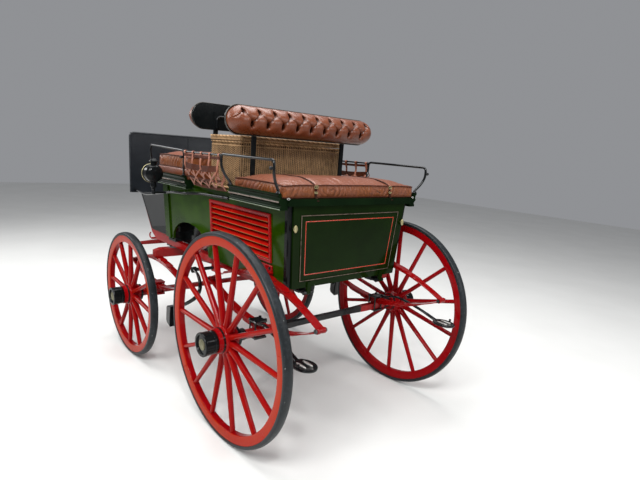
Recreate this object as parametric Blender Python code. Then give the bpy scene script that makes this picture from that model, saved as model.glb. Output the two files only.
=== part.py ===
"""Four-wheeled dog cart with back-to-back seats, a louvred dog box, elliptic springs and a turning fore-carriage.

The carriage is drawn in its own frame, in metres: +X forward, +Y to the left, +Z up, with x = 0 at the rear
axle and z = 0 on the ground. The empty called cart then puts the middle of its footprint at the world origin.
"""

import math

import bmesh
import bpy
from mathutils import Matrix, Vector

# Overall layout
WHEELBASE = 1.32
TRACK_HALF = 0.678
STEP_X = -0.496
STEP_HALF = 0.07
CAMBER = math.radians(1.9)
GAP = 0.0004
RUN = 0.0012

# Wheels
REAR_WHEEL_R = 0.56
FRONT_WHEEL_R = 0.445
REAR_SPOKES = 14
FRONT_SPOKES = 12
TYRE_DEPTH = 0.022
TYRE_WIDTH = 0.05
FELLOE_WIDTH = 0.045
FELLOE_DEPTH = 0.048
SPOKE_FOOT_R = 0.0155
SPOKE_TIP_R = 0.0125
SPOKE_DISH = -0.008
NAVE_R = 0.076
NAVE_BACK = -0.078
NAVE_FRONT = 0.058
CAP_R = 0.0625
CAP_LENGTH = 0.074
AXLE_ARM_R = 0.0215

# Body shell
BODY_REAR = -0.168
BODY_FRONT = 1.30
SIDE_BOTTOM = 0.83
BODY_TOP = 1.2716
HALF_WIDTH = 0.4215
FLARE = 0.0775
REAR_LEAN = 0.0465
PANEL = 0.016
FLOOR_THICK = 0.014
ARCH_X = 0.92
ARCH_HALF = 0.26
ARCH_TOP = 1.012
ARCH_DEEP = 0.075
FRONT_EDGE_BOTTOM = 0.858
PILLAR = 0.026

# Louvres
LOUVRE_BACK = -0.043
LOUVRE_FRONT = 0.601
LOUVRE_BOTTOM = 0.947
LOUVRE_TOP = 1.212
LOUVRE_SLATS = 7
LOUVRE_FRAME = 0.018

# Seats
SEAT_REAR = -0.215
SEAT_DEPTH = 0.49
SEAT_HALF = 0.523
SEAT_BOTTOM = 1.272
SEAT_TOP = 1.309
SIDE_MOULD_BOTTOM = 1.252
SIDE_MOULD_TOP = 1.334
FRONT_SEAT_BACK = 0.795
RISER = 0.04
CUSHION_MARGIN = 0.021
CUSHION_HALF = SEAT_HALF - CUSHION_MARGIN
CUSHION_THICK = 0.075
CUSHION_CROWN = 0.022
DECK_THICK = 0.0136

# Backrests
ROLL_OVERHANG = 0.02
ROLL_HALF = SEAT_HALF + ROLL_OVERHANG
ROLL_HEIGHT = 0.152
ROLL_DEPTH = 0.088
ROLL_Z = 1.687
ROLL_BACK_X = 0.292
FRONT_ROLL_HALF = 0.50
FRONT_ROLL_Z = 1.715
FRONT_ROLL_BACK_X = 0.775
BACKBOARD = 0.014
BUTTON_PITCH = 0.105
BUTTON_HIGH = 0.62
BUTTON_LOW = -0.27
POST_Y = 0.346
POST_WIDTH = 0.028
POST_THICK = 0.012

# Rails, nets and lamps
RAIL_R = 0.0075
RAIL_FLARE = 0.053
RAIL_Y = SEAT_HALF + RAIL_FLARE
RAIL_Z = 1.493
RAIL_REAR_X = -0.219
RAIL_FRONT_X = 0.269
FRONT_RAIL_BACK_X = 0.716
FRONT_RAIL_NOSE_X = 1.225
NET_STRAPS = 5
NET_LEVELS = (0.0, 0.45, 0.74, 1.0)
NET_STRAP_WIDTH = 0.016
NET_THICK = 0.005
LAMP_X = 1.06
LAMP_STAND = 0.099
LAMP_Y = SEAT_HALF + LAMP_STAND
WING_STAND = 0.012
LAMP_Z = 1.327
LAMP_R = 0.058
SOCKET_TOP = 1.228

# Hamper
HAMPER_BACK = 0.365
HAMPER_FRONT = 0.728
HAMPER_HALF = 0.395
HAMPER_HEIGHT = 0.288
HAMPER_WALL = 0.012
LID_THICK = 0.032

# Front end
FOOTBOARD_END = 1.60
FOOTBOARD_HALF = 0.405
FOOTBOARD_THICK = 0.018
FOOTBOARD_Z = 0.876
TOE_TOP_X = 1.815
TOE_TOP_Z = 1.12
DASH_HALF = 0.49
DASH_TOP_Z = 1.596
DASH_TOP_X = 1.852
DASH_THICK = 0.014

# Springs
SPRING_Y = 0.472
SPRING_HALF = 0.50
SPRING_WIDTH = 0.05
LEAF = 0.0075
LEAVES = 4
REAR_EYE_Z = 0.735
REAR_SPRING_TOP = 0.893
REAR_SPRING_BOTTOM = 0.586
FRONT_SPRING_HALF = 0.45
FRONT_EYE_Z = 0.583
FRONT_SPRING_TOP = 0.7
FRONT_SPRING_BOTTOM = 0.468
EYE_R = 0.0145
EYE_PIN_R = 0.006

# Axles, turntable and fore-carriage
AXLE_HALF_THICK = 0.019
AXLE_END = 0.575
SILL_Y = 0.375
SILL_WIDTH = 0.042
SILL_BOTTOM = 0.787
RING_R = 0.25
RING_WIDTH = 0.034
RING_THICK = 0.013
TRANSOM_HALF = 0.505
TRANSOM_WIDTH = 0.07
KING_PIN_R = 0.014
FUTCHELL_Y = 0.15
FUTCHELL_BACK = 0.98
SPLINTER_X = 1.775
SPLINTER_HALF = 0.43
SWINGLE_HALF = 0.30
SWINGLE_X = 1.875

# Brake
SHAFT_X = 0.66
SHAFT_Z = 0.757
SHAFT_R = 0.011
ARM_UP = 0.15
LEVER_X = 1.268
LEVER_Z = 0.95
LEVER_Y = 0.505
LEVER_DROP = 0.05
LEVER_SWING = 24
SHAFT_LEAN = LEVER_SWING / 2 * LEVER_DROP / ARM_UP
BRAKE_PIN_R = 0.005
BLOCK_GAP = 0.0055
BLOCK_Z = (0.445, 0.4775, 0.51, 0.5425, 0.575)

# Tailboard
TAIL_THICK = 0.018
TAIL_AXIS_X = -0.176
TAIL_AXIS_Z = 0.802
HINGE_Y = 0.283
STAY_R = 0.262

HOOK_OUT = 0.05
HOOK_R = 0.006

REAR_REACH = STEP_HALF - STEP_X
FRONT_REACH = SWINGLE_X + HOOK_OUT + HOOK_R * math.cos(math.radians(30))
ORIGIN_SHIFT = (REAR_REACH - FRONT_REACH) / 2


def material(name, colour, roughness, metallic=0.0):
    """A Principled material of one colour."""
    made = bpy.data.materials.new(name)
    made.use_nodes = True
    shader = made.node_tree.nodes["Principled BSDF"]
    shader.inputs["Base Color"].default_value = (*colour, 1.0)
    shader.inputs["Roughness"].default_value = roughness
    shader.inputs["Metallic"].default_value = metallic
    made.diffuse_color = (*colour, 1.0)
    return made


# Shapes: each function returns one closed bmesh

def closed(points, faces):
    """A closed shape from points and faces, with its normals made to face out."""
    shape = bmesh.new()
    verts = [shape.verts.new(point) for point in points]
    for face in faces:
        shape.faces.new([verts[i] for i in face])
    bmesh.ops.recalc_face_normals(shape, faces=shape.faces)
    return shape


def loft(sections, loop=False):
    """Joins sections of equal point counts, capped at both ends unless they close into a loop."""
    count = len(sections[0])
    points = [point for section in sections for point in section]
    faces = []
    steps = len(sections) if loop else len(sections) - 1
    for i in range(steps):
        low = i * count
        high = (i + 1) % len(sections) * count
        for j in range(count):
            k = (j + 1) % count
            faces.append((low + j, low + k, high + k, high + j))
    if not loop:
        faces.append(tuple(range(count)))
        faces.append(tuple(range(len(points) - count, len(points))))
    return closed(points, faces)


def prism(outline, axis, low, high):
    """An outline in the plane square to axis, run from low to high along it."""
    order = {"x": lambda a, b, c: (c, a, b), "y": lambda a, b, c: (a, c, b), "z": lambda a, b, c: (a, b, c)}[axis]
    return loft([[order(a, b, low) for a, b in outline], [order(a, b, high) for a, b in outline]])


def box(x0, x1, y0, y1, z0, z1):
    """A block between two corners."""
    return prism([(x0, y0), (x1, y0), (x1, y1), (x0, y1)], "z", z0, z1)


def arc(cx, cz, radius_x, radius_z, start, end, count):
    """Points along part of an ellipse, with the angles in degrees."""
    angles = [math.radians(start + (end - start) * i / count) for i in range(count + 1)]
    return [(cx + radius_x * math.cos(t), cz + radius_z * math.sin(t)) for t in angles]


def disc(centre, axis, radius, low, high, sides=12, turn=0.0):
    """A round bar along x, y or z, given by its centre in the plane square to it."""
    outline = arc(centre[0], centre[1], radius, radius, turn, turn + 360, sides)[:-1]
    return prism(outline, axis, low, high)


def revolve(profile, sides, loop=False):
    """Turns (radius, y) points about the Y axis; a profile that isn't a loop starts and ends on the axis."""
    points = []
    rings = []
    for radius, y in profile:
        if radius < 1e-9:
            rings.append([len(points)])
            points.append((0.0, y, 0.0))
            continue
        rings.append(list(range(len(points), len(points) + sides)))
        for k in range(sides):
            t = 2 * math.pi * k / sides
            points.append((radius * math.cos(t), y, radius * math.sin(t)))
    faces = []
    spans = len(rings) if loop else len(rings) - 1
    for i in range(spans):
        first = rings[i]
        second = rings[(i + 1) % len(rings)]
        for k in range(sides):
            n = (k + 1) % sides
            corners = [first[k % len(first)], first[n % len(first)], second[n % len(second)], second[k % len(second)]]
            faces.append(tuple(dict.fromkeys(corners)))
    return closed(points, faces)


def sweep(path, section, flat=None):
    """Runs a section of (side, up) points along a path, kept level with flat, the direction of its side."""
    path = [Vector(point) for point in path]
    sections = []
    side = Vector(flat) if flat else None
    for i, point in enumerate(path):
        ahead = path[min(i + 1, len(path) - 1)] - path[max(i - 1, 0)]
        ahead.normalize()
        if side is None:
            side = ahead.orthogonal()
        across = side - ahead * side.dot(ahead)
        across.normalize()
        if not flat:
            side = across
        up = ahead.cross(across)
        sections.append([point + across * a + up * b for a, b in section])
    return loft(sections)


def round_section(radius, sides=8):
    """A round section for sweep."""
    return arc(0, 0, radius, radius, 0, 360, sides)[:-1]


def flat_section(width, thick):
    """A flat bar's section for sweep: width along the side direction."""
    return [(-width / 2, -thick / 2), (width / 2, -thick / 2), (width / 2, thick / 2), (-width / 2, thick / 2)]


def bend(points, count):
    """A smooth curve of count steps a span through the given points."""
    points = [Vector(point) for point in points]
    ends = [points[0] * 2 - points[1], *points, points[-1] * 2 - points[-2]]
    made = []
    for i in range(1, len(ends) - 2):
        a, b, c, d = ends[i - 1], ends[i], ends[i + 1], ends[i + 2]
        for k in range(count):
            t = k / count
            made.append(
                ((b * 2) + (c - a) * t + (a * 2 - b * 5 + c * 4 - d) * t * t + (b * 3 - a - c * 3 + d) * t**3) / 2
            )
    made.append(points[-1])
    return made


def moved(shape, matrix):
    """The shape after a matrix, its faces still pointing out."""
    bmesh.ops.transform(shape, matrix=matrix, verts=shape.verts)
    if matrix.determinant() < 0:
        bmesh.ops.reverse_faces(shape, faces=shape.faces)
    return shape


def flared(shape, side):
    """Leans a side of the body outwards as it rises, as the panels do."""
    for vert in shape.verts:
        vert.co.y += side * (vert.co.z - SIDE_BOTTOM) * FLARE
    return shape


def body_half(z):
    """Half the width over the side panels at a height."""
    return HALF_WIDTH + (z - SIDE_BOTTOM) * FLARE


# Objects and the frames that carry them

FRAMES = {}


def frame(name, matrix, parent=None):
    """An empty on a joint's axis, which the pieces of that body hang on."""
    empty = bpy.data.objects.new(name, None)
    empty.empty_display_size = 0.1
    bpy.context.scene.collection.objects.link(empty)
    local = matrix
    if parent:
        empty.parent = bpy.data.objects[parent]
        local = FRAMES[parent].inverted() @ matrix
    empty.matrix_basis = local
    FRAMES[name] = matrix
    return empty


def piece(name, shapes, finish, parent="cart_body", cuts=(), smooth=35, local=False):
    """One object: the shapes joined into one closed body, less the cuts, in the frame of its parent."""
    helpers = []

    def helper(shape, label):
        mesh = bpy.data.meshes.new(label)
        if not local:
            bmesh.ops.transform(shape, matrix=FRAMES[parent].inverted(), verts=shape.verts)
        shape.to_mesh(mesh)
        shape.free()
        made = bpy.data.objects.new(label, mesh)
        bpy.context.scene.collection.objects.link(made)
        helpers.append(made)
        return made

    base = helper(shapes[0], name)
    for kind, group in (("UNION", shapes[1:]), ("DIFFERENCE", cuts)):
        for i, shape in enumerate(group):
            step = base.modifiers.new(f"{kind.lower()}_{i}", "BOOLEAN")
            step.operation = kind
            step.solver = "EXACT"
            step.object = helper(shape, f"{name}_{kind.lower()}_{i}")
    if len(helpers) > 1:
        depsgraph = bpy.context.evaluated_depsgraph_get()
        done = bpy.data.meshes.new_from_object(base.evaluated_get(depsgraph))
        base.modifiers.clear()
        base.data = done
        for made in helpers[1:]:
            bpy.data.objects.remove(made)
        tidy(done)
    base.data.name = name
    base.data.materials.clear()
    base.data.materials.append(finish)
    if smooth:
        base.data.shade_smooth()
        base.data.set_sharp_from_angle(angle=math.radians(smooth))
    base.parent = bpy.data.objects[parent]
    return base


def tidy(mesh):
    """Merges the flat facets that a Boolean leaves, so that a face is as few triangles as it can be."""
    shape = bmesh.new()
    shape.from_mesh(mesh)
    bmesh.ops.remove_doubles(shape, verts=shape.verts, dist=0.00001)
    bmesh.ops.dissolve_limit(shape, angle_limit=math.radians(0.05), verts=shape.verts, edges=shape.edges)
    shape.to_mesh(mesh)
    shape.free()


def twin(name, source, parent):
    """A second object that shares a mesh, in the frame of its own parent."""
    made = bpy.data.objects.new(name, source.data)
    bpy.context.scene.collection.objects.link(made)
    made.parent = bpy.data.objects[parent]
    return made


for old in list(bpy.data.objects):
    bpy.data.objects.remove(old)

RED = material("vermilion_paint", (0.62, 0.05, 0.02), 0.28)
GREEN = material("dark_green_paint", (0.02, 0.06, 0.018), 0.2)
BLACK = material("black_paint", (0.012, 0.013, 0.014), 0.28)
TYRE = material("black_tyre", (0.03, 0.034, 0.037), 0.5)
LEATHER = material("tan_leather", (0.42, 0.17, 0.08), 0.45)
STRAP = material("strap_leather", (0.33, 0.12, 0.06), 0.5)
WICKER = material("honey_wicker", (0.45, 0.3, 0.14), 0.65)
BRASS = material("brass", (0.72, 0.58, 0.3), 0.3, 1.0)

SIDES = (("left", 1), ("right", -1))


# Where the joints lie

def wheel_centre_z(radius):
    """The height at which a cambered wheel's tyre just meets the ground."""
    return radius * math.cos(CAMBER)


def wheel_frame(x, side, radius):
    """The frame of a wheel: its local +Y runs out along the axle arm, its middle is the felloes' middle plane."""
    place = Matrix.Translation((x, side * TRACK_HALF, wheel_centre_z(radius)))
    if side > 0:
        return place @ Matrix.Rotation(-CAMBER, 4, "X")
    return place @ Matrix.Rotation(CAMBER, 4, "X") @ Matrix.Rotation(math.pi, 4, "Z")


def build_frames():
    """The empties: the carriage itself, then one for each joint."""
    root = Matrix.Identity(4)
    frame("cart", root)
    bpy.data.objects["cart"].location.x = ORIGIN_SHIFT
    frame("cart_body", root, "cart")
    frame("fore_carriage", Matrix.Translation((WHEELBASE, 0, SILL_BOTTOM)), "cart")
    for label, side in SIDES:
        frame(f"rear_{label}_hub", wheel_frame(0, side, REAR_WHEEL_R), "cart")
        frame(f"front_{label}_hub", wheel_frame(WHEELBASE, side, FRONT_WHEEL_R), "fore_carriage")
    frame("tailboard_hinge", Matrix.Translation((TAIL_AXIS_X, 0, TAIL_AXIS_Z)), "cart")
    for label, side in SIDES:
        frame(f"{label}_turn", Matrix.Translation(turn_centre(side)), "tailboard_hinge")
    frame("hamper_hinge", Matrix.Translation(hamper_hinge()), "cart")
    frame("swingle_pivot", Matrix.Translation((SWINGLE_X, 0, FUTCHELL_TOP)), "fore_carriage")
    frame("brake_axis", Matrix.Translation((SHAFT_X, 0, SHAFT_Z)), "cart")
    frame("lever_pivot", Matrix.Translation((LEVER_X, -LEVER_Y, LEVER_Z)), "cart")
    frame("rod_pin", Matrix.Translation(rod_pin()), "lever_pivot")


# Heights that follow from the turntable's stack

RING_TOP = SILL_BOTTOM - GAP
RING_MEET = RING_TOP - RING_THICK
LOWER_RING_BOTTOM = RING_MEET - GAP - RING_THICK
TRANSOM_TOP = LOWER_RING_BOTTOM + 0.001
TRANSOM_BOTTOM = FRONT_SPRING_TOP + GAP
FUTCHELL_TOP = TRANSOM_BOTTOM + 0.001
FLOOR_TOP = SIDE_BOTTOM + FLOOR_THICK
DECK_TOP = BODY_TOP + DECK_THICK


def tail_x(z):
    """The rear face of the body's corner pillars at a height: it leans back as it rises."""
    return BODY_REAR - (z - SIDE_BOTTOM) * REAR_LEAN


def turn_centre(side):
    """Where a brass thumb turn pivots on the tailboard's rear face."""
    z = 1.157
    return (tail_x(z) - 0.012, side * 0.414, z)


def hamper_hinge():
    """The hamper lid's hinge line, along the basket's rear top edge."""
    return (HAMPER_BACK - 0.004, 0, DECK_TOP + GAP + HAMPER_HEIGHT + 0.004)


# Wheels

def felloe_bars(radius):
    """Outer and inner radius of a wheel's felloes."""
    outer = radius - TYRE_DEPTH - GAP
    return outer, outer - FELLOE_DEPTH


def wheel_wood(radius, spokes, rim_sides):
    """The felloes, spokes and nave of one wheel, which are driven together and painted as one."""
    outer, inner = felloe_bars(radius)
    half = FELLOE_WIDTH / 2
    rim = revolve([(outer, -half), (outer, half), (inner, half - 0.004), (inner, 0.004 - half)], rim_sides, loop=True)
    parts = [rim, nave_shape(spokes)]
    for k in range(spokes):
        parts.append(spoke(2 * math.pi * (k + 1 / 6) / spokes, inner))
    return parts


def nave_shape(sides):
    """The turned nave with its front band, bored from the back for the axle arm."""
    bore = (AXLE_ARM_R + RUN) / math.cos(math.pi / sides)
    return revolve(
        [
            (0, NAVE_FRONT - 0.018),
            (bore, NAVE_FRONT - 0.018),
            (bore, NAVE_BACK),
            (NAVE_R * 0.68, NAVE_BACK),
            (NAVE_R, -0.036),
            (NAVE_R, 0.024),
            (NAVE_R * 0.88, 0.03),
            (NAVE_R * 0.84, NAVE_FRONT),
            (0, NAVE_FRONT),
        ],
        sides,
    )


def spoke(turn, inner):
    """One tapered oval spoke, set into the nave and the felloe."""
    out = Vector((math.cos(turn), 0, math.sin(turn)))
    across = Vector((-math.sin(turn), 0, math.cos(turn)))
    along = Vector((0, 1, 0))
    sections = []
    for reach, width, depth, offset in (
        (NAVE_R * 0.8, SPOKE_FOOT_R, SPOKE_FOOT_R * 1.25, SPOKE_DISH),
        (inner + 0.012, SPOKE_TIP_R, SPOKE_TIP_R, 0.0),
    ):
        middle = out * reach + along * offset
        ring_angles = [2 * math.pi * (i + 0.5) / 6 for i in range(6)]
        sections.append([middle + across * (width * math.cos(a)) + along * (depth * math.sin(a)) for a in ring_angles])
    return loft(sections)


def tyre_ring(radius, sides):
    """The tyre: a band round the felloes with a crowned tread."""
    inner = radius - TYRE_DEPTH
    half = TYRE_WIDTH / 2
    shoulder = radius - 0.007
    return revolve([(inner, -half), (shoulder, -half), (radius, 0), (shoulder, half), (inner, half)], sides, loop=True)


def hub_cap():
    """The black cap on the nave, with a disc sunk in its face."""
    base = NAVE_FRONT + GAP
    face = base + CAP_LENGTH
    return revolve(
        [
            (0, base),
            (CAP_R * 0.95, base),
            (CAP_R, face - 0.008),
            (CAP_R * 0.93, face),
            (CAP_R * 0.78, face),
            (CAP_R * 0.74, face - 0.009),
            (0, face - 0.009),
        ],
        14,
    )


def build_wheels():
    """Four wheels: the two of an axle share their meshes and stand at rest a third of a spoke's pitch apart.

    Each is turned so that a corner of the tyre meets the ground.
    """
    for axle, radius, spokes in (("rear", REAR_WHEEL_R, REAR_SPOKES), ("front", FRONT_WHEEL_R, FRONT_SPOKES)):
        hub = f"{axle}_left_hub"
        sides = spokes * 3
        twist = Matrix.Rotation(math.pi / sides if sides % 4 else 0.0, 4, "Y")
        timber = [moved(shape, twist) for shape in wheel_wood(radius, spokes, sides)]
        wood = piece(f"{axle}_left_wheel", timber, RED, hub, local=True)
        tyre = piece(f"{axle}_left_tyre", [moved(tyre_ring(radius, sides), twist)], TYRE, hub, local=True)
        cap = piece(f"{axle}_left_cap", [hub_cap()], BLACK, hub, local=True)
        for label, source in (("wheel", wood), ("tyre", tyre), ("cap", cap)):
            twin(f"{axle}_right_{label}", source, f"{axle}_right_hub").rotation_euler.y = 2 * math.pi / sides


# Axles and springs

def axle_bar(x, radius, bottom):
    """A square axle bar with a pad under each spring, and a collar and a round arm at each end for the nave."""
    z = wheel_centre_z(radius)
    t = AXLE_HALF_THICK
    thin = t * 0.8
    sections = []
    for y, h in ((-AXLE_END, t), (-0.36, t), (-0.2, thin), (0.2, thin), (0.36, t), (AXLE_END, t)):
        sections.append([(x - h, y, z - h), (x + h, y, z - h), (x + h, y, z + h), (x - h, y, z + h)])
    shapes = [loft(sections)]
    back = NAVE_BACK - RUN
    arm = [(0, -0.118), (0.033, -0.118), (0.033, back), (AXLE_ARM_R, back), (AXLE_ARM_R, NAVE_FRONT - 0.02), (0, NAVE_FRONT - 0.02)]
    for _label, side in SIDES:
        shapes.append(moved(revolve(arm, 10), wheel_frame(x, side, radius)))
        y = side * SPRING_Y
        shapes.append(box(x - t + 0.001, x + t - 0.001, y - SPRING_WIDTH / 2, y + SPRING_WIDTH / 2, z + t - 0.001, bottom - GAP))
    return shapes


def leaf_pack(x, half, eye_z, crown_z, sign):
    """Half of a spring seen from the side: a main leaf from eye to eye, with shorter leaves stepped on its back."""
    middle = crown_z - sign * LEAF * LEAVES
    reaches = [1.0, 0.74, 0.5, 0.27]

    def main_z(u):
        return eye_z + (middle - eye_z) * (1 - u * u)

    inner = [(x + half * u, main_z(u)) for u in [-1 + i / 5 for i in range(11)]]
    steps = []
    for k, reach in enumerate(reaches):
        nearer = reaches[k + 1] + 0.004 if k + 1 < LEAVES else 0.0
        steps += [(reach, main_z(reach) + sign * LEAF * (k + 1)), (nearer, main_z(nearer) + sign * LEAF * (k + 1))]
    right = [(x + half * u, z) for u, z in steps]
    left = [(2 * x - px, pz) for px, pz in reversed(right[:-1])]
    return inner + right + left


def spring_shapes(x, half, eye_z, top, bottom, side):
    """A full elliptic spring: two leaf packs that meet in rolled eyes, with the pin's ends showing."""
    y = side * SPRING_Y
    wide = SPRING_WIDTH / 2
    shapes = [
        prism(leaf_pack(x, half, eye_z + EYE_R * 0.4, top, 1), "y", y - wide, y + wide),
        prism(leaf_pack(x, half, eye_z - EYE_R * 0.4, bottom, -1), "y", y - wide, y + wide),
    ]
    for end in (-1, 1):
        centre = (x + end * (half + EYE_R * 0.5), eye_z)
        shapes.append(disc(centre, "y", EYE_R, y - wide - 0.010, y + wide + 0.010, 10))
    return shapes


def clamp_shapes(x, radius, bottom, side, below=GAP):
    """U-bolts with a top and a bottom plate, which hold a spring down on its axle."""
    z = wheel_centre_z(radius)
    y = side * SPRING_Y
    wide = SPRING_WIDTH / 2 + 0.002
    bar = 0.010
    reach = AXLE_HALF_THICK + 0.002
    top = bottom + LEAF * LEAVES + 0.0035
    low = z - AXLE_HALF_THICK - below
    half_x = reach + bar + 0.006
    half_y = wide + bar
    shapes = [
        box(x - half_x, x + half_x, y - half_y, y + half_y, top, top + 0.012),
        box(x - half_x, x + half_x, y - half_y, y + half_y, low - 0.012, low),
    ]
    for ex in (-1, 1):
        for ey in (-1, 1):
            cx = x + ex * (reach + bar / 2)
            cy = y + ey * (wide + bar / 2 - 0.0006)
            shapes.append(box(cx - bar / 2, cx + bar / 2, cy - bar / 2, cy + bar / 2, low - 0.006, top + 0.006))
    return shapes


def step_shapes(side):
    """A step: a flat iron that arches back from the clamp to an oval tread with two ribs and a toe stud."""
    tread = (STEP_X, side * 0.546, 0.576)
    top = REAR_SPRING_BOTTOM + LEAF * LEAVES + 0.0095
    route = bend([
        (0.02, side * 0.502, top),
        (-0.05, side * 0.506, top + 0.003),
        (-0.144, side * 0.524, 0.645),
        (-0.3, side * 0.537, 0.618),
        (tread[0] + 0.045, tread[1], tread[2]),
    ], 2)
    oval = arc(tread[0], tread[1], STEP_HALF, 0.056, 0, 360, 14)[:-1]
    shapes = [
        sweep(route, flat_section(0.024, 0.009), flat=(0, 1, 0)),
        prism(oval, "z", tread[2] - 0.006, tread[2] + 0.006),
    ]
    for across in (-0.02, 0.02):
        rib = arc(tread[0], tread[1] + across, 0.034, 0.007, 0, 360, 6)[:-1]
        shapes.append(prism(rib, "z", tread[2] + 0.004, tread[2] + 0.0095))
    shapes.append(disc((tread[0] - 0.012, tread[1] + side * 0.046), "z", 0.006, tread[2], tread[2] + 0.022, 6))
    return shapes


def hanger_shapes(side):
    """The iron that carries the body on a rear spring: an ear over the leaf pack and a foot on the side panel."""
    top = REAR_SPRING_TOP - 0.002
    foot_low = top - 0.045
    foot_high = top + 0.045
    ear = (side * (body_half(top) + 0.006), side * (SPRING_Y + SPRING_WIDTH / 2 + 0.004))
    foot = slab(rectangle(-0.055, 0.055, foot_low, foot_high), side, -GAP, -0.012)
    return [box(-0.065, 0.065, min(ear), max(ear), top, top + 0.014), foot]


def build_running_gear():
    """Axles, springs, clamps and steps of both axles."""
    for label, side in SIDES:
        rear = spring_shapes(0.0, SPRING_HALF, REAR_EYE_Z, REAR_SPRING_TOP, REAR_SPRING_BOTTOM, side)
        piece(f"rear_spring_{label}", rear + hanger_shapes(side), RED)
        front = spring_shapes(WHEELBASE, FRONT_SPRING_HALF, FRONT_EYE_Z, FRONT_SPRING_TOP, FRONT_SPRING_BOTTOM, side)
        piece(f"front_spring_{label}", front, RED, "fore_carriage")
        rear_clamp = clamp_shapes(0.0, REAR_WHEEL_R, REAR_SPRING_BOTTOM, side)
        piece(f"clamp_and_step_{label}", rear_clamp + step_shapes(side), BLACK)
    piece("rear_axle", axle_bar(0.0, REAR_WHEEL_R, REAR_SPRING_BOTTOM), RED)
    front_axle = axle_bar(WHEELBASE, FRONT_WHEEL_R, FRONT_SPRING_BOTTOM)
    for _label, side in SIDES:
        front_axle += clamp_shapes(WHEELBASE, FRONT_WHEEL_R, FRONT_SPRING_BOTTOM, side, -0.001)
    piece("front_axle", front_axle, RED, "fore_carriage")


# Body

def rectangle(x0, x1, z0, z1):
    """Four corners in the side plane."""
    return [(x0, z0), (x1, z0), (x1, z1), (x0, z1)]


def slab(outline, side, inner, outer):
    """An outline of the body's side made into a flared slab, from inner to outer behind the panel's face."""
    low, high = sorted((side * (HALF_WIDTH - inner), side * (HALF_WIDTH - outer)))
    return flared(prism(outline, "y", low, high), side)


def arch_outline(grow, foot):
    """The wheelhouse's outline as (x, z) points: an arch on a straight foot."""
    curve = arc(ARCH_X, FRONT_EDGE_BOTTOM, ARCH_HALF + grow, ARCH_TOP - FRONT_EDGE_BOTTOM + grow, 0, 180, 10)
    return [(ARCH_X + ARCH_HALF + grow, foot), *curve, (ARCH_X - ARCH_HALF - grow, foot)]


def side_outline():
    """A side panel's edge: it stops short of the corner pillar and steps up ahead of the wheelhouse."""
    return [
        (tail_x(SIDE_BOTTOM) + PILLAR + GAP, SIDE_BOTTOM),
        (ARCH_X, SIDE_BOTTOM),
        (ARCH_X, FRONT_EDGE_BOTTOM),
        (BODY_FRONT, FRONT_EDGE_BOTTOM),
        (BODY_FRONT, BODY_TOP),
        (tail_x(BODY_TOP) + PILLAR + GAP, BODY_TOP),
    ]


def build_sides():
    """Side panels with the front moulding on their face, their louvres, and the corner pillars."""
    window = rectangle(
        LOUVRE_BACK + LOUVRE_FRAME, LOUVRE_FRONT - LOUVRE_FRAME, LOUVRE_BOTTOM + LOUVRE_FRAME, LOUVRE_TOP - LOUVRE_FRAME
    )
    for label, side in SIDES:
        shapes = [
            slab(side_outline(), side, PANEL, 0),
            slab(rectangle(1.205, 1.232, FRONT_EDGE_BOTTOM + 0.001, BODY_TOP - 0.012), side, 0.004, -0.010),
        ]
        cuts = [slab(arch_outline(0, SIDE_BOTTOM - 0.05), side, PANEL + 0.02, -0.02), slab(window, side, PANEL + 0.02, -0.02)]
        piece(f"side_panel_{label}", shapes, GREEN, cuts=cuts)
        louvre(label, side, window)
        rear_pillar(label, side)


def louvre(label, side, window):
    """A louvred vent: a frame on the panel's face, with sloping slats that run back through the window."""
    x0, z0 = window[0]
    x1, z1 = window[2]
    pitch = (z1 - z0) / LOUVRE_SLATS
    thick = 0.006
    front = HALF_WIDTH + 0.009
    back = HALF_WIDTH - PANEL + 0.003
    bars = []
    for k in range(LOUVRE_SLATS):
        base = z0 + pitch * k + 0.0015
        rise = pitch * 0.7
        slope = [
            (side * front, base), (side * front, base + thick),
            (side * back, base + rise + thick), (side * back, base + rise),
        ]
        bars.append(flared(prism(slope, "x", x0 + 0.003, x1 - 0.003), side))
    face = slab(rectangle(LOUVRE_BACK, LOUVRE_FRONT, LOUVRE_BOTTOM, LOUVRE_TOP), side, -GAP, -0.011)
    lining = slab(rectangle(x0 + GAP, x1 - GAP, z0 + GAP, z1 - GAP), side, PANEL - 0.002, -0.004)
    room = slab(rectangle(x0 + 0.005, x1 - 0.005, z0 + 0.005, z1 - 0.005), side, PANEL + 0.01, -0.03)
    ring_part = combined(combined(face, lining, "UNION"), room, "DIFFERENCE")
    piece(f"louvre_{label}", [ring_part, *bars], RED)


def combined(shape, other, kind):
    """Two shapes joined, or the first less the second, as one shape."""
    made = []
    for source in (shape, other):
        mesh = bpy.data.meshes.new("part_of_shape")
        source.to_mesh(mesh)
        source.free()
        made.append(bpy.data.objects.new("part_of_shape", mesh))
        bpy.context.scene.collection.objects.link(made[-1])
    step = made[0].modifiers.new("step", "BOOLEAN")
    step.operation = kind
    step.solver = "EXACT"
    step.object = made[1]
    result = bmesh.new()
    result.from_object(made[0], bpy.context.evaluated_depsgraph_get())
    for item in made:
        bpy.data.objects.remove(item)
    return result


def rear_pillar(label, side):
    """A corner pillar: a black post with an eased outer corner, beside the tailboard."""
    inner = side * (HALF_WIDTH - PILLAR)
    outer = side * HALF_WIDTH
    ease = 0.006
    sections = []
    for z in (SIDE_BOTTOM, BODY_TOP):
        back = tail_x(z)
        front = back + PILLAR
        lean = side * (z - SIDE_BOTTOM) * FLARE
        sections.append([
            (front, inner + lean, z),
            (back, inner + lean, z),
            (back, outer - side * ease + lean, z),
            (back + ease, outer + lean, z),
            (front, outer + lean, z),
        ])
    piece(f"rear_pillar_{label}", [loft(sections)], BLACK)


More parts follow.
